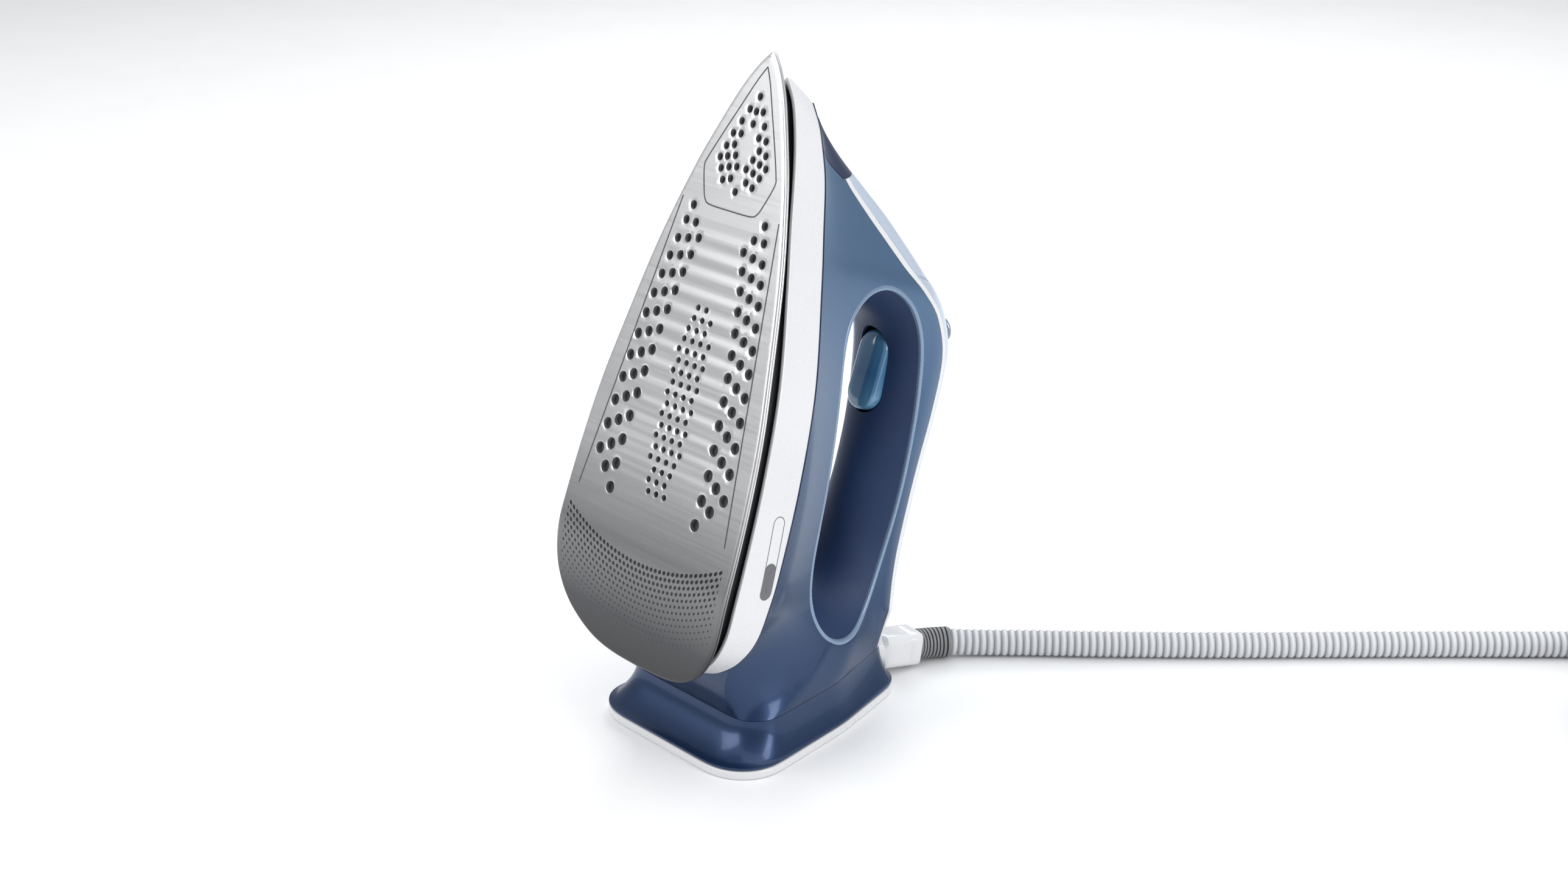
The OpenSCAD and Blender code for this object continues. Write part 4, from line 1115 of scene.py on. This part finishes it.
for s, side in ((1, "right"), (-1, "left")):
    engraving("side_line_" + side, [(s * (29 + 17.5 * k), 240 - 126 * k) for k in np.linspace(0, 1, 40)])
tip_half = smooth([[0, 297.5], [4, 291], [9, 281], [15, 269], [20.4, 257.5], [21.2, 253.5], [18, 245], [15.6, 240.8],
    [12, 239.4], [0, 239.2]], 8)
engraving("tip_line_right", tip_half)
engraving("tip_line_left", tip_half * [-1, 1])


# ---- heel foot and base plate -----------------------------------------------------------
FOOT_INDEX = np.linspace(0, 12, 150)


def foot_ring(d, f, z):
    """The foot's whole outline at height z, drawn in by d and f."""
    ground = foot_at(FOOT_INDEX, d, f)
    return whole(np.stack([ground[:, 0], ground[:, 1], np.full(len(ground), float(z))], 1))


def foot_mesh():
    """Concave flare with a small rounded lip above the base plate, open above and below."""
    rise = SEAM_Z - 0.2 - RIM_H
    flare = [(7 * (1 - (1 - k) ** 2), 14 * (1 - (1 - k) ** 2), RIM_H + rise * k) for k in np.linspace(0.12, 1, 18)]
    lip = [(0.9, 0.9, RIM_H + 0.1), (0.3, 0.3, RIM_H + 0.35), (0.05, 0.05, RIM_H + 0.9), (0.12, 0.2, RIM_H + 1.5)]
    inner = [(9.0, 16.2, SEAM_Z - 0.1)] + [(d + 1.9, f + 2.1, z) for d, f, z in flare[-2::-2]]
    levels = lip + flare + [(7.35, 14.35, SEAM_Z - 0.1)] + inner + [(2.4, 2.4, RIM_H + 0.1)]
    rows = [foot_ring(*level) for level in levels]
    points = np.array(rows + rows[:1]) / 1000
    mesh = mesh_from("foot", points, quads(len(rows) + 1, points.shape[1], wrap=True), 45)
    return cut(mesh, "DIFFERENCE", boot_hole, angle=45)


piece("foot_flare", foot_mesh(), BLUE, ("heel_foot",))


def base_mesh():
    """Base plate with rounded edges and four countersunk screw holes."""
    rows = [foot_ring(d, d, z) for d, z in ((2.2, 0.0), (1.0, 0.0), (0.4, 0.15), (0.08, 0.55), (0.0, 1.2),
        (0.0, 2.6), (0.08, 3.3), (0.4, 3.75), (1.0, 3.95), (3.0, 4.0))]
    points = np.array(rows) / 1000
    bore = [(-0.001, 0), (-0.001, 0.0038), (0.0022, 0.0038), (0.0022, 0.0017), (0.006, 0.0017), (0.006, 0)]
    bores = [lathe("bore", bore, (x / 1000, y / 1000, 0), (0, 0, 1))
        for x, y in ((-32, -26), (32, -26), (-14.5, 41.5), (14.5, 41.5))]
    mesh = mesh_from("base", points, tube_faces(*points.shape[:2]), 40)
    return cut(mesh, "DIFFERENCE", *bores, angle=40)


piece("base_rim", base_mesh(), WHITE, ("base_plate",))


# ---- moving parts -----------------------------------------------------------------------
# the lever's heights w, and how far its rounded face is drawn in at each
lever = [(w, stadium(8.1 - inset, 169.9 + inset, 205.0 - inset)) for w, inset in ((108.5, 0.0), (101.6, 0.0),
    (100.9, 0.15), (100.3, 0.55), (99.9, 1.1), (99.75, 1.35), (99.7, 1.6), (99.55, 2.0), (99.2, 3.0), (98.9, 4.2),
    (98.75, 5.6), (98.7, 7.4))]
piece("trigger_lever", stacked("lever", lever), CLEAR, ("trigger",), "trigger_body")
knob = lathe("button_knob", [(a / 1000, r / 1000) for a, r in [(-10, 0), (-10, 5.2), (-7, 5.2), (-7, 6.4), (2.2, 6.4),
    (2.6, 6.5), (3.0, 6.3), (3.3, 6.1), (3.7, 6.1), (4.2, 6.3), (4.9, 6.05), (5.3, 5.4), (5.45, 4.4), (5.1, 3.6),
    (4.95, 2.0), (4.9, 0)]], BUTTON_AT, BUTTON_AXIS, sides=64, angle=32)
piece("button_knob", knob, SILVER_BLUE, ("button",), "button_body")


# ---- CAD nodes that stay: the inner parts -------------------------------------------------
KEPT = ((CAST, ("steam_chamber", "chamber_cover")), (SHEATH, ("heating_element",)), (GASKET, ("chamber_gasket",)),
    (BAKELITE, ("thermostat",)), (IVORY, ("thermal_fuse", "button_plunger")), (BRASS, ("inlet_fitting",)),
    (BLACK, ("heat_shield", "trigger_switch", "button_switch")), (GREY, ("handle_chassis", "hose_clamp")),
    (RED, ("trigger_plunger",)), (BOARD, ("control_board",)), (CABLE, ("wiring_loom",)), (SILICONE, ("steam_tube",)))
KEPT_MATERIAL = {name: mat for mat, names in KEPT for name in names}
for name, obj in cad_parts.items():
    for material_slot in obj.material_slots:
        material_slot.material = KEPT_MATERIAL.get(name, STEEL)


# ---- floor and light ----------------------------------------------------------------------
floor_mesh = mesh_from("floor", [(-9, -9, 0), (9, -9, 0), (9, 9, 0), (-9, 9, 0)], [(0, 1, 2, 3)])
floor = bpy.data.objects.new("floor", floor_mesh)
bpy.context.scene.collection.objects.link(floor)
floor.data.materials.append(grained("floor_matte", (0.88, 0.885, 0.89), 0.55, scale=60, variation=0.01))

world = bpy.data.worlds.new("studio")
bpy.context.scene.world = world
world.use_nodes = True
background = world.node_tree.nodes["Background"].inputs
background["Color"].default_value = (0.95, 0.97, 1.0, 1)
background["Strength"].default_value = 0.42
bpy.context.scene.view_settings.view_transform = "Standard"


def softbox(name, at, target, size, power):
    """A rectangular area light that faces its target."""
    light = bpy.data.lights.new(name, "AREA")
    light.shape = "RECTANGLE"
    light.size, light.size_y = size
    light.energy = power
    obj = bpy.data.objects.new(name, light)
    bpy.context.scene.collection.objects.link(obj)
    obj.location = at
    obj.rotation_euler = (Vector(target) - Vector(at)).to_track_quat("-Z", "Y").to_euler()


softbox("top", (0.1, 0.1, 2.2), (0, 0, 0), (3.0, 3.0), 36)
softbox("key", (-0.6, -1.4, 1.1), (0, 0, 0.12), (1.2, 0.9), 15)
softbox("side", (1.5, 0.35, 0.8), (0, 0, 0.14), (0.5, 1.2), 12)
softbox("back", (-0.9, 1.2, 1.2), (0, 0, 0.15), (1.0, 0.8), 10)
